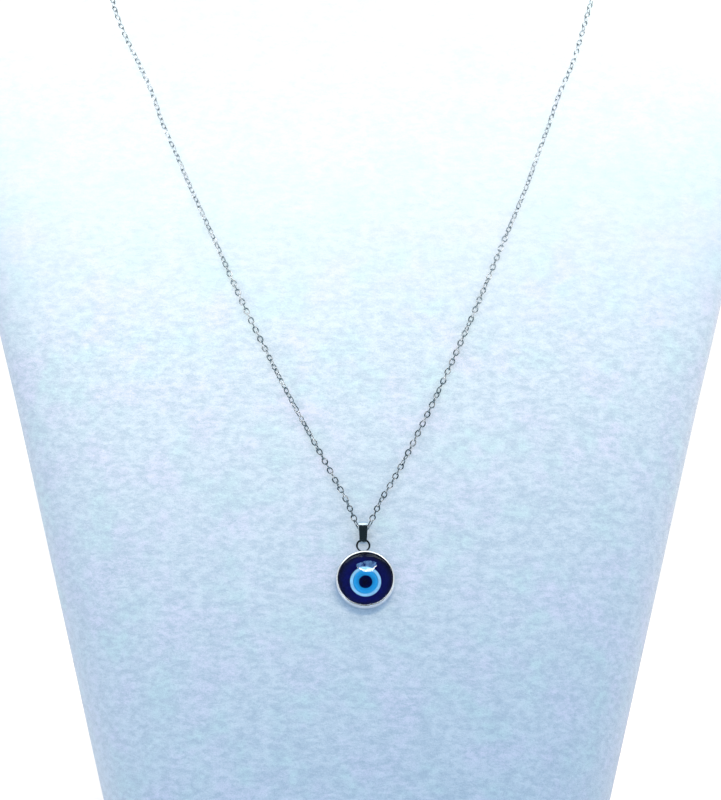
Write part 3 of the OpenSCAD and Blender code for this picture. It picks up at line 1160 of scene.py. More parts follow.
@dataclass
class CableChain:
    """Interlocked oval links of a cable chain, as one joined mesh.

    Attributes:
        route: The chain's route.
        pitch: Wanted distance from link to link.
        wire: Thickness of the wire in the link's plane.
        rolled: Its thickness across that plane, where the links are rolled flat.
        width: Outside width of a link.
        play: Air between two links where they hook.
        end_air: Length at each end of the route left free for the clasp's loops.
        left_twist: Slow twist to the left of the bail: distance from it in millimetres, quarter turns.
        right_twist: Slow twist to the right of it.
        link_sides: Points round a link.
        wire_sides: Points round the wire.
    """

    route: ChainRoute
    pitch: float = 1.42 * MM
    wire: float = 0.35 * MM
    rolled: float = 0.26 * MM
    width: float = 1.55 * MM
    play: float = 0.02 * MM
    end_air: float = 0.5 * MM
    left_twist: Rows = (
        (0, 0), (1.5, 0.15), (4.2, 1), (22, 1), (31, 1.4), (42, 1.5), (51, 1.3), (57, 1), (78, 1),
        (84, 1.5), (165, 1.5), (250, 3.5),
    )
    right_twist: Rows = (
        (0, 0), (1.5, 0.15), (4.2, 1), (7.5, 1), (10.1, 1.5), (13, 2), (19.7, 2), (22.3, 2.5),
        (24.5, 3), (38.5, 3), (42.7, 3.5), (45, 4), (57, 4), (62.3, 4.5), (66, 5), (70.5, 5),
        (74.4, 5.5), (79, 6), (87, 6), (93, 6.5), (165, 6.5), (250, 9),
    )
    link_sides: int = 16
    wire_sides: int = 6

    def joints(self) -> tuple[Array, int]:
        """Distances along the route where two links hook, and the number of the bail's link.

        The link in the bail lies evenly about the bail's middle, and on each side whole links of
        nearly the wanted pitch fill the way to the clasp.

        Returns:
            The distances, and how many of them come before the bail's link.
        """
        fine, _, middle = self.route.curve()
        total = float(lengths(fine)[-1]) - self.end_air
        low, high = middle - self.pitch / 2, middle + self.pitch / 2
        left = round((low - self.end_air) / self.pitch)
        right = round((total - high) / self.pitch)
        hooks = np.concatenate(
            [np.linspace(self.end_air, low, left + 1), np.linspace(high, total, right + 1)]
        )
        return hooks, left

    def roll(self, number: Array, along: Array) -> Array:
        """Turn of each link about the chain's line, from flat on the velvet, in radians.

        Neighbours are a quarter turn apart, and the slow twist of the chain's side is added.

        Args:
            number: Link numbers counted from the bail's link.
            along: Distance of each link from the bail, negative to its left.

        Returns:
            The turns.
        """
        sides = [np.array(rows, float) for rows in (self.left_twist, self.right_twist)]
        left, right = (read_table(rows, np.clip(np.abs(along) / MM, 0, rows[-1, 0])) for rows in sides)
        return (number + np.where(along < 0, left[:, 1], right[:, 1])) * np.pi / 2

    def build(self) -> Object:
        """Makes all links as one mesh, whose shadow on the velvet is left out.

        A link's middle line is an ellipse in the plane of the chain's direction and a side
        direction, its ends half a wire past the points where it hooks into its neighbours. The
        wire's section is an ellipse carried along it, thinner across the link's plane.

        Returns:
            The chain.
        """
        fine, outs, middle = self.route.curve()
        hooks, left = self.joints()
        ends = along_line(fine, hooks)
        start, end = ends[:-1], ends[1:]
        centre = (start + end) / 2
        direction = unit(end - start)
        at = (hooks[:-1] + hooks[1:]) / 2
        out = along_line(fine, at, outs)
        out = unit(out - (out * direction).sum(-1, keepdims=True) * direction)
        side = np.cross(direction, out)
        number = np.arange(len(at)) - left
        roll = self.roll(number, at - middle)[:, None]
        wide = np.cos(roll) * side + np.sin(roll) * out
        flat = np.cross(direction, wide)
        half_long = (np.linalg.norm(end - start, axis=-1) + self.wire + self.play) / 2
        half_wide = (self.width - self.wire) / 2
        t, w = full_turn(self.link_sides), full_turn(self.wire_sides)
        local = half_long[:, None] * np.cos(t)
        line = (
            centre[:, None]
            + local[..., None] * direction[:, None]
            + (half_wide * np.sin(t))[None, :, None] * wide[:, None]
        )
        normal = unit(
            (half_wide * np.cos(t))[None, :, None] * direction[:, None]
            + (half_long[:, None] * np.sin(t))[..., None] * wide[:, None]
        )
        points = (
            line[:, :, None]
            + self.wire / 2 * np.cos(w)[None, None, :, None] * normal[:, :, None]
            + self.rolled / 2 * np.sin(w)[None, None, :, None] * flat[:, None, None]
        )
        steps = (1 / self.wire_sides, 1 / self.link_sides)
        part = joined([Surface(link, Ends.JOINED, steps).build() for link in points])
        LOG.info("chain: %d links, %.1f mm", len(points), (hooks[-1] - hooks[0]) / MM)
        return make_piece(
            "cable_chain", part, CHAIN_METAL.material(), "stand", ("chain",), shadow=False
        )


def wire_ring(centre: Array, axis_u: Array, axis_v: Array, radius: float, wire: float,
              sides: int = 48, wire_sides: int = 16) -> Part:
    """A round ring of round wire.

    Args:
        centre: Its middle.
        axis_u: First direction in its plane.
        axis_v: Second direction in its plane.
        radius: Radius to the middle of the wire.
        wire: Diameter of the wire.
        sides: Points round the ring.
        wire_sides: Points round the wire.

    Returns:
        The ring.
    """
    t, w = full_turn(sides)[:, None, None], full_turn(wire_sides)[None, :, None]
    outward = np.cos(t) * axis_u + np.sin(t) * axis_v
    across = np.cross(axis_u, axis_v)
    points = centre + outward * (radius + wire / 2 * np.cos(w)) + wire / 2 * np.sin(w) * across
    return Surface(points, Ends.JOINED, (1 / wire_sides, 1 / sides)).build()


@dataclass
class BarrelClasp:
    """Turned barrel with a groove, and a small loop at each end for the chain.

    Attributes:
        route: The chain's route, which gives its place.
        radius: Radius of the barrel.
        half: Half its length.
        cone: Length of the cone at each end.
        end_r: Radius of the end faces.
        groove: Half the width of the groove where the two halves meet.
        groove_depth: Depth of the groove.
        loop_r: Radius of a loop, to the middle of its wire.
        loop_wire: Diameter of a loop's wire.
        loop_out: Distance of a loop's middle from the barrel's end.
        sides: Points round the barrel.
    """

    route: ChainRoute
    radius: float = 1.5 * MM
    half: float = 4.5 * MM
    cone: float = 1.6 * MM
    end_r: float = 0.8 * MM
    groove: float = 0.2 * MM
    groove_depth: float = 0.2 * MM
    loop_r: float = 0.5 * MM
    loop_wire: float = 0.3 * MM
    loop_out: float = 0.3 * MM
    sides: int = 64

    def profile(self) -> Array:
        """Radius and height of the barrel's outline, its corners rounded and its halves alike."""
        low = np.array([
            [PIN, -self.half], [self.end_r, -self.half], [self.radius, self.cone - self.half],
            [self.radius, -self.groove], [self.radius - self.groove_depth, -self.groove],
        ])
        radii = np.array([0, 0.15, 0.5, 0.06, 0.05]) * MM
        return rounded(np.vstack([low, low[::-1] * [1, -1]]), np.concatenate([radii, radii[::-1]]))

    def build(self) -> Object:
        """Makes the barrel with its loops, lying along X at the nape."""
        nape = self.route.nape_at()
        x, y, z = np.eye(3)
        barrel = turned(self.profile(), self.sides).placed(Place(nape, np.array([y, z, x])))
        reach = (self.half + self.loop_out) * x
        loops = [wire_ring(nape + side * reach, x, z, self.loop_r, self.loop_wire) for side in (-1, 1)]
        part = joined([barrel, *loops])
        return make_piece("barrel_clasp", part, CLASP_METAL.material(), "stand", ("clasp",))


@dataclass
class FoldedBail:
    """Metal strip folded into a large eye for the chain and a small one for the ring.

    Attributes:
        hanging: Shared sizes and places.
        top_w: Width of the strip at the top.
        low_w: Width of the strip at the bottom.
        corner: Radius of the strip's long edges.
        steps: Points along the fold.
        crown: How far the strip's middle stands out over its edges.
        arcs: Points along the arc over the large eye and the one under the small eye.
    """

    hanging: Hanging
    top_w: float = 2.35 * MM
    low_w: float = 1.7 * MM
    corner: float = 0.035 * MM
    steps: int = 220
    crown: float = 0.03 * MM
    arcs: tuple[int, int] = (120, 60)

    def fold(self) -> tuple[Array, Array]:
        """The strip's middle line in the plane across it, and the directions out of the fold.

        It is the outline round two circles: an arc over the large eye, an arc under the small one
        and the two straight lines that touch both.

        Returns:
            Points and outward directions as rows of Y and Z.
        """
        top = self.hanging.eye_r + self.hanging.strip / 2
        low = self.hanging.hook_r + self.hanging.strip / 2
        lean = math.asin((top - low) / self.hanging.reach)
        over = np.linspace(-lean, np.pi + lean, self.arcs[0])
        under = np.linspace(np.pi + lean, 2 * np.pi - lean, self.arcs[1])
        turn = np.concatenate([over, under])
        direction = np.stack([np.cos(turn), np.sin(turn)], -1)
        points = direction * np.repeat([top, low], self.arcs)[:, None]
        points[len(over):, 1] -= self.hanging.reach
        closed = np.vstack([points, points[:1]])
        at = np.linspace(0, lengths(closed)[-1], self.steps, endpoint=False)
        out = along_line(closed, at, np.vstack([direction, direction[:1]]))
        return along_line(closed, at), unit(out)

    def build(self) -> Object:
        """Makes the strip, whose shadow on the velvet is left out.

        Its section is a rectangle with round corners, whose faces swell towards the middle as a
        parabola. It is carried round the fold and tapers evenly from top to bottom.

        Returns:
            The bail.
        """
        line, out = self.fold()
        thick = self.hanging.strip / 2
        box = np.array([[0, thick], [1, thick], [1, -thick], [-1, -thick], [-1, thick], [0, thick]])
        half_top = self.top_w / 2
        box = box * [half_top, 1]
        section = rounded(box, np.array([0, 1, 1, 1, 1, 0]) * self.corner, steps=4)[:-1]
        section = along_line(np.vstack([section, section[:1]]), self.section_stops(section))
        across, height = section[:, 0], section[:, 1]
        swell = self.crown * (1 - (across / half_top) ** 2) * np.sign(height)
        top = self.hanging.eye_r + self.hanging.strip
        whole = top + self.hanging.reach + self.hanging.hook_r + self.hanging.strip
        share = (top - line[:, 1]) / whole
        half = (self.top_w + (self.low_w - self.top_w) * share) / 2
        straight = np.abs(across) - half_top
        x = np.sign(across) * (half[:, None] + straight)
        x = np.where(np.abs(across) < half_top - 2 * self.corner, across * half[:, None] / half_top, x)
        flat = line[:, None] + (height + swell)[None, :, None] * out[:, None]
        local = np.stack([x, flat[..., 0], flat[..., 1]], -1)
        part = Surface(local, Ends.JOINED, (1 / len(section), 1 / self.steps)).build()
        return make_piece(
            "folded_bail", part.placed(self.hanging.bail()), BAIL_METAL.material(), "bail",
            ("bail",), shadow=False,
        )

    def section_stops(self, section: Array) -> Array:
        """Distances round the section to read it at: its own points and some on its flat faces."""
        along = lengths(np.vstack([section, section[:1]]))
        gaps = np.diff(along)
        extra = [
            np.linspace(a, a + g, 12, endpoint=False)[1:]
            for a, g in zip(along[:-1], gaps)
            if g > self.top_w / 4
        ]
        return np.sort(np.concatenate([along[:-1], *extra]))


@dataclass
class Setting:
    """Round cup with its soldered ring.

    Attributes:
        hanging: Shared sizes and places.
        wall: Thickness of the cup's wall.
        floor: Thickness of the cup's floor.
        bevel: Radius of the edges of the cup's rim.
        back_r: Radius of the edge round its back.
        floor_r: Radius of the corner round its floor.
        crown: Least and greatest outward tilt of the rolled rim, in degrees.
        wire: Diameter of the ring's wire.
        bead: Half lengths of the bead of solder across, out of the wall and up.
        bead_out: Distance of its middle from the wall.
        sides: Points round the cup.
        ring_sides: Points round the ring and round its wire.
        bead_sides: Points round the bead and from its foot to its top.
    """

    hanging: Hanging
    wall: float = 0.4 * MM
    floor: float = 0.4 * MM
    bevel: float = 0.07 * MM
    back_r: float = 0.15 * MM
    floor_r: float = 0.1 * MM
    crown: tuple[float, float] = (2.0, 30.0)
    wire: float = 0.5 * MM
    bead: tuple[float, float, float] = (1.3 * MM, 0.4 * MM, 0.34 * MM)
    bead_out: float = 0.02 * MM
    sides: int = 192
    ring_sides: tuple[int, int] = (72, 18)
    bead_sides: tuple[int, int] = (32, 18)

    def well_r(self) -> float:
        """Inside radius of the cup."""
        return self.hanging.cup_r - self.wall

    def cup_profile(self) -> Array:
        """Radius and height of the cup's outline, from the middle of its back.

        The rim is an arc that tilts outwards ever more from the well to the wall. Its radius is the
        wall's thickness over the difference of the sines of its two tilts.

        Returns:
            Rows of radius and height.
        """
        r, h, well = self.hanging.cup_r, self.hanging.cup_h, self.well_r()
        low, high = np.radians(self.crown)
        tilt = np.linspace(high, low, 9)
        rim_r = self.wall / (math.sin(high) - math.sin(low))
        rim = np.stack(
            [well + rim_r * (np.sin(tilt) - math.sin(low)), h + rim_r * (np.cos(tilt) - math.cos(low))], -1
        )
        corners = np.vstack([[[PIN, 0], [r, 0]], rim, [[well, self.floor], [PIN, self.floor]]])
        edges = [0, self.back_r, self.bevel, *[0] * (len(rim) - 2), self.bevel, self.floor_r, 0]
        return rounded(corners, np.array(edges), steps=5, guard=0.2)

    def solder(self) -> Part:
        """The bead of solder: an ellipsoid sunk into the wall under the ring.

        Its points are the sines and cosines of two angles times three half lengths.

        Returns:
            The bead.
        """
        sides, rows = self.bead_sides
        u, v = np.linspace(0, np.pi, rows)[1:-1, None], full_turn(sides)[None, :]
        ball = np.stack([np.sin(u) * np.cos(v), np.sin(u) * np.sin(v), np.cos(u) + 0 * v], -1)
        centre = np.array([0, self.hanging.cup_r + self.bead_out, self.hanging.cup_h / 2])
        return Surface(ball * np.array(self.bead) + centre, Ends.POLES, (1 / sides, 1 / rows)).build()

    def build(self) -> Object:
        """Makes the cup with its solder, and the ring, whose shadow on the velvet is left out.

        Returns:
            The cup.
        """
        x, y, _ = np.eye(3)
        centre = np.array([0, self.hanging.ring_to_cup(), self.hanging.cup_h / 2])
        ring = wire_ring(centre, x, y, self.hanging.ring_r, self.wire, *self.ring_sides)
        place = self.hanging.cup()
        cup = make_piece(
            "cup_setting", joined([turned(self.cup_profile(), self.sides), self.solder()]).placed(place),
            SETTING_METAL.material(), "pendant", ("setting",),
        )
        make_piece(
            "soldered_ring", ring.placed(place), RING_METAL.material(), "pendant",
            ("setting",), shadow=False,
        )
        return cup


@dataclass
class EyePrint:
    """The eye's coloured rings in the cup, each a thin piece of its own.

    Attributes:
        setting: The cup that holds them.
        white_r: Outer radius of the white ring.
        blue_r: Outer radius of the light blue ring.
        pupil_r: Radius of the pupil.
        drop: How far the eye lies below the middle of the cup.
        thick: Thickness of the layer.
        gap: Air between the parts in the cup.
        edge: Radius of the rings' edges.
        sides: Points round each ring.
    """

    setting: Setting
    white_r: float = 3.35 * MM
    blue_r: float = 2.6 * MM
    pupil_r: float = 1.4 * MM
    drop: float = 0.65 * MM
    thick: float = 0.25 * MM
    gap: float = 0.04 * MM
    edge: float = 0.02 * MM
    sides: int = 144

    def ring(self, name: str, outer: float, inner: float, finish: PrintedLayer, node: str) -> None:
        """Makes one flat ring, or a disc where the inner radius is 0.

        Its UV map holds the distance from the eye's middle in millimetres as U. Each point drops with
        the eye, but the field's outline stays on the middle of the cup: there the drop fades out
        evenly from the white ring to the outline.

        Args:
            name: The piece's name.
            outer: Outer radius.
            inner: Radius of the ring that it lies round.
            finish: Its finish.
            node: The model's node that it stands for.
        """
        low = self.setting.floor + self.gap
        high = low + self.thick
        hole = inner + self.gap if inner > 0 else PIN
        corners = np.array([[hole, low], [outer, low], [outer, high], [hole, high]])
        if inner > 0:
            radii = np.array([0, 1, 1, 1, 1, 0]) * self.edge
            profile, ends = rounded(np.vstack([corners, corners[:2]]), radii, 2)[1:-1], Ends.JOINED
        else:
            profile, ends = rounded(corners, np.array([0, 1, 1, 0]) * self.edge, 2), Ends.POLES
        part = Surface(revolve(profile, self.sides), ends).build()
        radius = np.linalg.norm(part.vertices[:, :2], axis=1) / MM
        part.quad_uv = np.stack([radius[part.quads], 0 * part.quads], -1)
        part.tri_uv = np.stack([radius[part.tris], 0 * part.tris], -1)
        outline = self.setting.well_r() / MM
        fade = (outline - radius) / (outline - self.white_r / MM)
        part.vertices[:, 1] -= self.drop * np.clip(fade, 0, 1)
        placed = part.placed(self.setting.hanging.cup())
        make_piece(name, placed, finish.material(), "pendant", (node,))

    def build(self) -> None:
        """Makes the four rings of the eye."""
        field_r = self.setting.well_r() - self.gap
        self.ring("navy_field", field_r, self.white_r, NAVY_PRINT, "eye_field")
        self.ring("white_ring", self.white_r, self.blue_r, WHITE_PRINT, "eye_white")
        self.ring("light_blue_ring", self.blue_r, self.pupil_r, BLUE_PRINT, "eye_blue")
        self.ring("black_pupil", self.pupil_r, 0, BLACK_PRINT, "eye_pupil")


@dataclass
class GlassDome:
    """Clear glass cabochon over the eye.

    Attributes:
        eye: The print under it.
        height: Height over all.
        edge_h: Height of the straight edge.
        edge_r: Radius of the rounded edge between the cap and the straight edge.
        foot_r: Radius of the rounded edge at the bottom.
        sides: Points round the dome.
        rows: Points from the cap's edge to its top.
    """

    eye: EyePrint
    height: float = 3.7 * MM
    edge_h: float = 1.0 * MM
    edge_r: float = 0.12 * MM
    foot_r: float = 0.08 * MM
    sides: int = 192
    rows: int = 48

    def profile(self) -> Array:
        """Radius and height of the outline: flat below, a straight edge and a spherical cap.

        The cap's radius is the sum of the squares of its half width and its rise, over twice the
        rise.

        Returns:
            Rows of radius and height.
        """
        setting = self.eye.setting
        base_r = setting.well_r() - self.eye.gap
        low = setting.floor + 2 * self.eye.gap + self.eye.thick
        rise = self.height - self.edge_h
        dome_r = (base_r**2 + rise**2) / (2 * rise)
        centre_z = low + self.height - dome_r
        widest = math.asin(base_r / dome_r)
        a = np.linspace(widest, 0.004, self.rows)
        cap = np.stack([dome_r * np.sin(a), centre_z + dome_r * np.cos(a)], -1)
        corners = np.vstack([[[PIN, low], [base_r, low]], cap[:2]])
        edge = rounded(corners, np.array([0, self.foot_r, self.edge_r, 0]), steps=5)
        return np.vstack([edge, cap[2:]])

    def build(self) -> Object:
        """Makes the dome. Its shadow is left out, so that light reaches the print under it."""
        part = turned(self.profile(), self.sides).placed(self.eye.setting.hanging.cup())
        return make_piece(
            "glass_cabochon", part, GLASS.material(), "pendant", ("glass_dome",), shadow=False
        )


@dataclass
class Studio:
    """Camera, lights, floor and surroundings.

    Attributes:
        target: Point that the camera looks straight at, in the middle of the picture.
        distance: Distance of the camera from it.
        lens: Focal length in millimetres.
        sensor: Sensor's long side in millimetres.
        air: Brightness all round.
        gloom: Colour of the surroundings where metal and glass mirror them.
        lamp_at: Middle of the lamp over the chest.
        lamp_aim: Point that it faces.
        lamp_size: Its width and depth.
        lamp_spread: Angle that its light fills, in degrees.
        lamp_watts: Its power.
        lamp_colour: Colour of its light.
        shade_z: Height of the bright shade that shows in the glass.
        shade_tips: X and Y of the shade's left and right tips.
        shade_outer: How far the shade's outer edge bulges forward from the line between its tips.
        shade_inner: How far its inner edge does.
        shade_glow: Strength of its light in the glass.
        haze_back: How far the dim panel behind the shade reaches back from that line.
        haze_glow: Strength of the dim panel's light.
        haze_colour: Colour of the dim panel's light.
        strip_bulge: How far the panel that shows in the bail reaches back and forward of the line.
        strip_glow: Strength of that panel's light.
        tent_r: Radius of both domes of cloth, the one that shows in the cup and the chain's.
        tent_z: Height of their middle.
        tent_step: Angle that one of their faces fills, in degrees.
        cup_doors: Openings towards the camera of the dome that shows in the cup: half the width, the
            lower and the upper edge of each, in degrees.
        cup_glow: Strength of that dome's light, and of the table's.
        chain_doors: Openings of the dome that shows in the chain, the same way.
        chain_glow: Strength of that dome's light.
        mist_y: Y of the upright sheet near the shoulders that shows in the chain there.
        mist_box: Its least and greatest X and Z.
        mist_glow: Strength of its light.
        crown_box: Least and greatest X and Y of the sheet overhead that shows in the cup's rim.
        crown_glow: Strength of its light.
        chest_box: Least and greatest X and Y, in the cup's frame, of the sheet on the velvet below
            the pendant that shows in the cup's wall.
        chest_z: Its height in that frame.
        chest_glow: Strength of its light.
        table_z: Height of the pale table that shows in the cup and the chain.
        table_box: Its least and greatest X and Y.
        floor_box: Least and greatest X and Y of the floor.
    """

    target: tuple[float, float, float] = (0.9 * MM, -18.4 * MM, 112 * MM)
    distance: float = 700 * MM
    lens: float = 126.0
    sensor: float = 36.0
    air: float = 1.1
    gloom: Colour = (0.022, 0.034, 0.038, 1)
    lamp_at: tuple[float, float, float] = (0.075, -0.30, 0.50)
    lamp_aim: tuple[float, float, float] = (0.0, 0.0, 0.26)
    lamp_size: tuple[float, float] = (0.62, 0.10)
    lamp_spread: float = 60.0
    lamp_watts: float = 1.39
    lamp_colour: tuple[float, float, float] = (1.0, 0.64, 0.36)
    shade_z: float = 1.2
    shade_tips: tuple[tuple[float, float], tuple[float, float]] = ((-0.50, -0.29), (0.545, -0.06))
    shade_outer: float = 0.80
    shade_inner: float = 0.52
    shade_glow: float = 20.0
    haze_back: float = 0.11
    haze_glow: float = 8.5
    haze_colour: Colour = (0.27, 0.585, 1.0, 1)
    strip_bulge: tuple[float, float] = (0.42, 0.38)
    strip_glow: float = 1.9
    tent_r: float = 3.0
    tent_z: float = 0.07
    tent_step: int = 5
    cup_doors: Rows = ((30.0, 0.0, 15.0), (30.0, 38.0, 50.0))
    cup_glow: float = 1.5
    chain_doors: Rows = ((50.0, 0.0, 70.0),)
    chain_glow: float = 5.5
    mist_y: float = -0.05
    mist_box: Box = (-0.2, 0.2, 0.172, 0.30)
    mist_glow: float = 1.4
    crown_box: Box = (-0.45, 0.45, -0.9, 0.3)
    crown_glow: float = 4.0
    chest_box: Box = (-0.012, 0.012, -0.016, 0.004)
    chest_z: float = -0.0002
    chest_glow: float = 0.5
    table_z: float = 0.002
    table_box: Box = (-0.6, 0.6, -0.5, -0.075)
    floor_box: Box = (-3.0, 3.0, -3.0, 3.0)

    def camera(self) -> None:
        """Puts the camera level in front of the chest."""
        data = bpy.data.cameras.new("camera")
        data.lens = self.lens
        data.sensor_width = self.sensor
        data.clip_start = 0.01
        camera = add_object("camera", data)
        camera.location = Vector(self.target) - Vector((0, self.distance, 0))
        camera.rotation_euler = (math.pi / 2, 0, 0)
        bpy.context.scene.camera = camera

    def lamp(self) -> None:
        """Hangs the lamp over the chest. It lights the velvet, and no mirror shows it."""
        data = bpy.data.lights.new("lamp", "AREA")
        data.shape = "RECTANGLE"
        data.size, data.size_y = self.lamp_size
        data.energy = self.lamp_watts
        data.color = self.lamp_colour
        data.spread = math.radians(self.lamp_spread)
        lamp = add_object("lamp", data)
        lamp.location = self.lamp_at
        aim = Vector(self.lamp_aim) - Vector(self.lamp_at)
        lamp.rotation_euler = aim.to_track_quat("-Z", "Y").to_euler()
        lamp.visible_glossy = False
        lamp.visible_transmission = False

    def card(self, name: str, shape: Shape, glow: float, colour: Colour, shown_in: list[Object]) -> None:
        """Hangs a glowing card that only the reflections of some pieces show.

        It lets rays through, so that it hides no other card from the other pieces.

        Args:
            name: The card's name.
            shape: Its points and its faces.
            glow: Strength of its light.
            colour: Colour of its light.
            shown_in: Pieces that mirror it.
        """
        material = bpy.data.materials.new(name)
        material.use_nodes = True
        tree = Group(material.node_tree)
        tree.tree.nodes.clear()
        light = tree.node("ShaderNodeEmission", in_Color=colour, in_Strength=glow)
        both = tree.node("ShaderNodeAddShader")
        tree.link(light.outputs[0], both.inputs[0])
        tree.link(tree.node("ShaderNodeBsdfTransparent").outputs[0], both.inputs[1])
        tree.link(both.outputs[0], tree.node("ShaderNodeOutputMaterial").inputs["Surface"])
        card = add_plain(name, shape, material)
        for ray in ("camera", "diffuse", "shadow", "transmission"):
            setattr(card, "visible_" + ray, False)
        mirrors = bpy.data.collections.new(name + "_mirrors")
        for piece in shown_in:
            mirrors.objects.link(piece)
        card.light_linking.receiver_collection = mirrors
        card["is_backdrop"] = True

    def crescent(self, near: float, far: float) -> Shape:
        """Works out a level sheet between two half ellipses, at the shade's height.

        Both edges stand on the line between the shade's tips. A point of an edge lies along that line
        by the cosine of its angle, and forward of it by the sine times the edge's bulge.

        Args:
            near: Bulge of its back edge.
            far: Bulge of its front edge.

        Returns:
            Its points and its faces.
        """
        tips = np.array(self.shade_tips)
        middle, half = tips.mean(0), (tips[1] - tips[0]) / 2
        forward = unit(np.array([half[1], -half[0]]))
        a = np.linspace(np.pi, 0, 49)[:, None]
        edges = [middle + half * np.cos(a) + forward * bulge * np.sin(a) for bulge in (near, far)]
        flat = np.stack([edges[0][1:-1], edges[1][1:-1]], 1).reshape(-1, 2)
        k = np.arange(len(edges[0]) - 3)[:, None] * 2
        return np.hstack([flat, np.full((len(flat), 1), self.shade_z)]), k + np.array([0, 1, 3, 2])

    def sheet(self, box: Box, at: float, upright: bool = False) -> Shape:
        """Works out a level rectangle, or an upright one that faces the camera.

        Args:
            box: Its least and greatest X and Y, or X and Z where it is upright.
            at: Its height, or its Y where it is upright.
            upright: Whether it stands upright.

        Returns:
            Its points and its face.
        """
        x0, x1, low, high = box
        points = np.array([(x0, low, at), (x1, low, at), (x1, high, at), (x0, high, at)])
        return (points[:, [0, 2, 1]] if upright else points), np.arange(4)[None]

    def tent(self, doors: Rows) -> Shape:
        """Works out a dome of cloth round the bust, open towards the camera.

        Its points lie on a sphere round the pendant, by turn from the camera's side and by elevation.
        The faces of the openings are left out.

        Args:
            doors: Half the width, the lower and the upper edge of each opening, in degrees.

        Returns:
            Its points and its faces.
        """
        turn = np.radians(np.arange(-180, 180, self.tent_step))
        rise = np.radians(np.arange(0, 91, self.tent_step))[:, None]
        x, y = np.cos(rise) * np.sin(turn), -np.cos(rise) * np.cos(turn)
        points = np.stack([x, y, np.sin(rise) + 0 * turn], -1).reshape(-1, 3) * self.tent_r
        k, i = np.meshgrid(np.arange(len(rise) - 1), np.arange(len(turn)), indexing="ij")
        half = self.tent_step / 2
        across, above = np.abs(np.degrees(turn[i]) + half), np.degrees(rise[k, 0]) + half
        shut = np.all([(across > w) | (above < low) | (above > high) for w, low, high in doors], axis=0)
        k, i = k[shut], i[shut]
        j = (i + 1) % len(turn)
        row, up = k * len(turn), (k + 1) * len(turn)
        return points + np.array([0, 0, self.tent_z]), np.stack([row + i, row + j, up + j, up + i], -1)

    def dark_in_mirrors(self, tree: Group, plain: Any, dark: Any) -> Socket:
        """Mixes two shaders: the dark one for what metal and glass mirror, the plain one elsewhere.

        A ray that passes through glass sees the plain one only after the print has scattered it.

        Args:
            tree: The world's or a material's tree.
            plain: Output of the plain shader.
            dark: Output of the dark shader.

        Returns:
            The mixed shader.
        """
        path = tree.node("ShaderNodeLightPath")
        unscattered = tree.math("SUBTRACT", 1.0, tree.math("MINIMUM", path.outputs["Diffuse Depth"], 1.0))
        through = tree.math("MULTIPLY", path.outputs["Is Transmission Ray"], unscattered)
        mix = tree.node("ShaderNodeMixShader")
        tree.link(tree.math("MAXIMUM", path.outputs["Is Glossy Ray"], through), mix.inputs[0])
        tree.link(plain, mix.inputs[1])
        tree.link(dark, mix.inputs[2])
        return mix.outputs[0]

    def surroundings(self) -> None:
        """Makes the air bright all round, and dark where metal and glass mirror it."""
        world = bpy.data.worlds.new("studio")
        bpy.context.scene.world = world
        world.use_nodes = True
        tree = Group(world.node_tree)
        bright = world.node_tree.nodes["Background"]
        bright.inputs["Color"].default_value = (1.0, 1.0, 1.0, 1)
        bright.inputs["Strength"].default_value = self.air
        dark = tree.node("ShaderNodeBackground", in_Color=self.gloom, in_Strength=1.0)
        shown = self.dark_in_mirrors(tree, bright.outputs[0], dark.outputs[0])
        tree.link(shown, world.node_tree.nodes["World Output"].inputs["Surface"])

    def floor(self) -> None:
        """Lays a plain pale floor, as dark as the surroundings where a mirror shows it."""
        material, tree, shader = new_material("pale_floor")
        shader.inputs["Base Color"].default_value = (0.95, 0.96, 0.97, 1)
        shader.inputs["Roughness"].default_value = 0.9
        shader.inputs["Specular IOR Level"].default_value = 0.0
        dark = tree.node("ShaderNodeEmission", in_Color=self.gloom, in_Strength=1.0)
        shown = self.dark_in_mirrors(tree, shader.outputs[0], dark.outputs[0])
        tree.link(shown, material.node_tree.nodes["Material Output"].inputs["Surface"])
        floor = add_plain("floor", self.sheet(self.floor_box, 0.0), material)
        floor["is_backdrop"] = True

    def build(self, mirrors: dict[str, Object], cup_place: Place) -> None:
        """Sets up everything round the object.

        Args:
            mirrors: The pieces that mirror the cards: glass, cup, bail, chain and clasp.
            cup_place: Frame of the cup.
        """
        self.camera()
        self.surroundings()
        self.floor()
        self.lamp()
        white = (1, 1, 1, 1)
        glass, cup, chain = [mirrors["glass"]], [mirrors["cup"]], [mirrors["chain"], mirrors["clasp"]]
        shade = self.crescent(self.shade_inner, self.shade_outer)
        haze = self.crescent(-self.haze_back, self.shade_inner)
        back, front = self.strip_bulge
        self.card("shade", shade, self.shade_glow, white, glass)
        self.card("haze", haze, self.haze_glow, self.haze_colour, glass)
        self.card("strip", self.crescent(-back, front), self.strip_glow, white, [mirrors["bail"]])
        self.card("cup_tent", self.tent(self.cup_doors), self.cup_glow, white, cup)
        self.card("chain_tent", self.tent(self.chain_doors), self.chain_glow, white, chain)
        self.card("mist", self.sheet(self.mist_box, self.mist_y, True), self.mist_glow, white, chain)
        self.card("table", self.sheet(self.table_box, self.table_z), self.cup_glow, white, cup + chain)
        self.card("crown", self.sheet(self.crown_box, self.shade_z), self.crown_glow, white, cup)
        points, faces = self.sheet(self.chest_box, self.chest_z)
        self.card("chest", (cup_place.out(points), faces), self.chest_glow, white, cup)
        bpy.context.scene.view_settings.view_transform = "Standard"


def write_sizes(before: Any, after: Any) -> None:
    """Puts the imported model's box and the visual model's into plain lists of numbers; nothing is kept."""
    {"cad": plain(before), "visual": plain(after)}


def plain(value: Any) -> Any:
    """A box as nested lists of floats."""
    return [plain(v) for v in value] if hasattr(value, "__len__") else float(value)


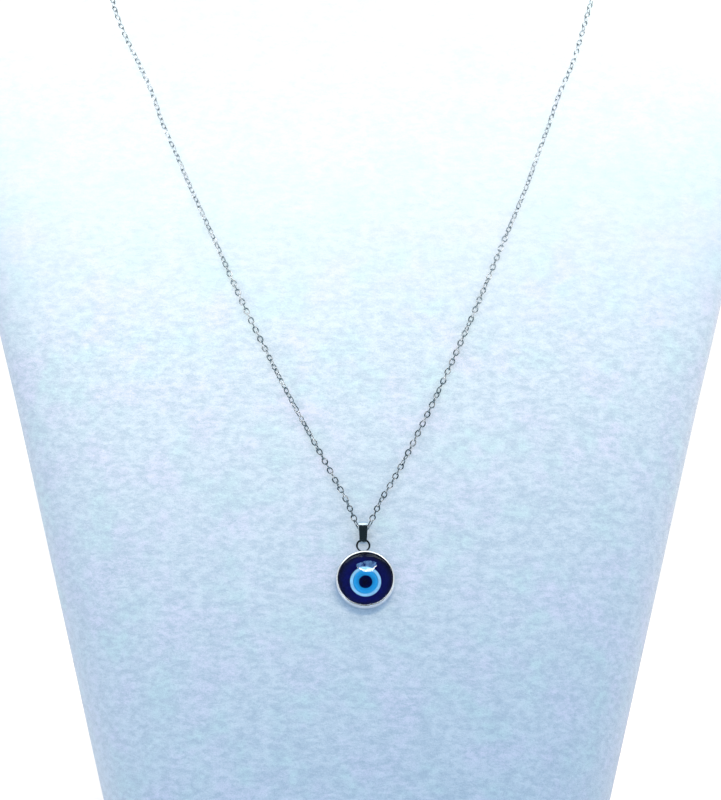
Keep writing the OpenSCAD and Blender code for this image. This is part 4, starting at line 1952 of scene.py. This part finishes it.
def main() -> None:
    """Builds the bust, the print, the chain, the clasp, the bail, the cup, the glass and the studio."""
    logging.basicConfig(level=logging.INFO, format="%(name)s: %(message)s")
    bust = NeckBust()
    bust.build()
    hanging = Hanging(bust)
    route = ChainRoute(bust, hanging)
    setting = Setting(hanging)
    eye = EyePrint(setting)
    eye.build()
    mirrors = {
        "chain": CableChain(route).build(),
        "clasp": BarrelClasp(route).build(),
        "bail": FoldedBail(hanging).build(),
        "cup": setting.build(),
        "glass": GlassDome(eye).build(),
    }
    Studio().build(mirrors, hanging.cup())
    write_sizes(CAD_BOX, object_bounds())


if __name__ == "__main__":
    main()
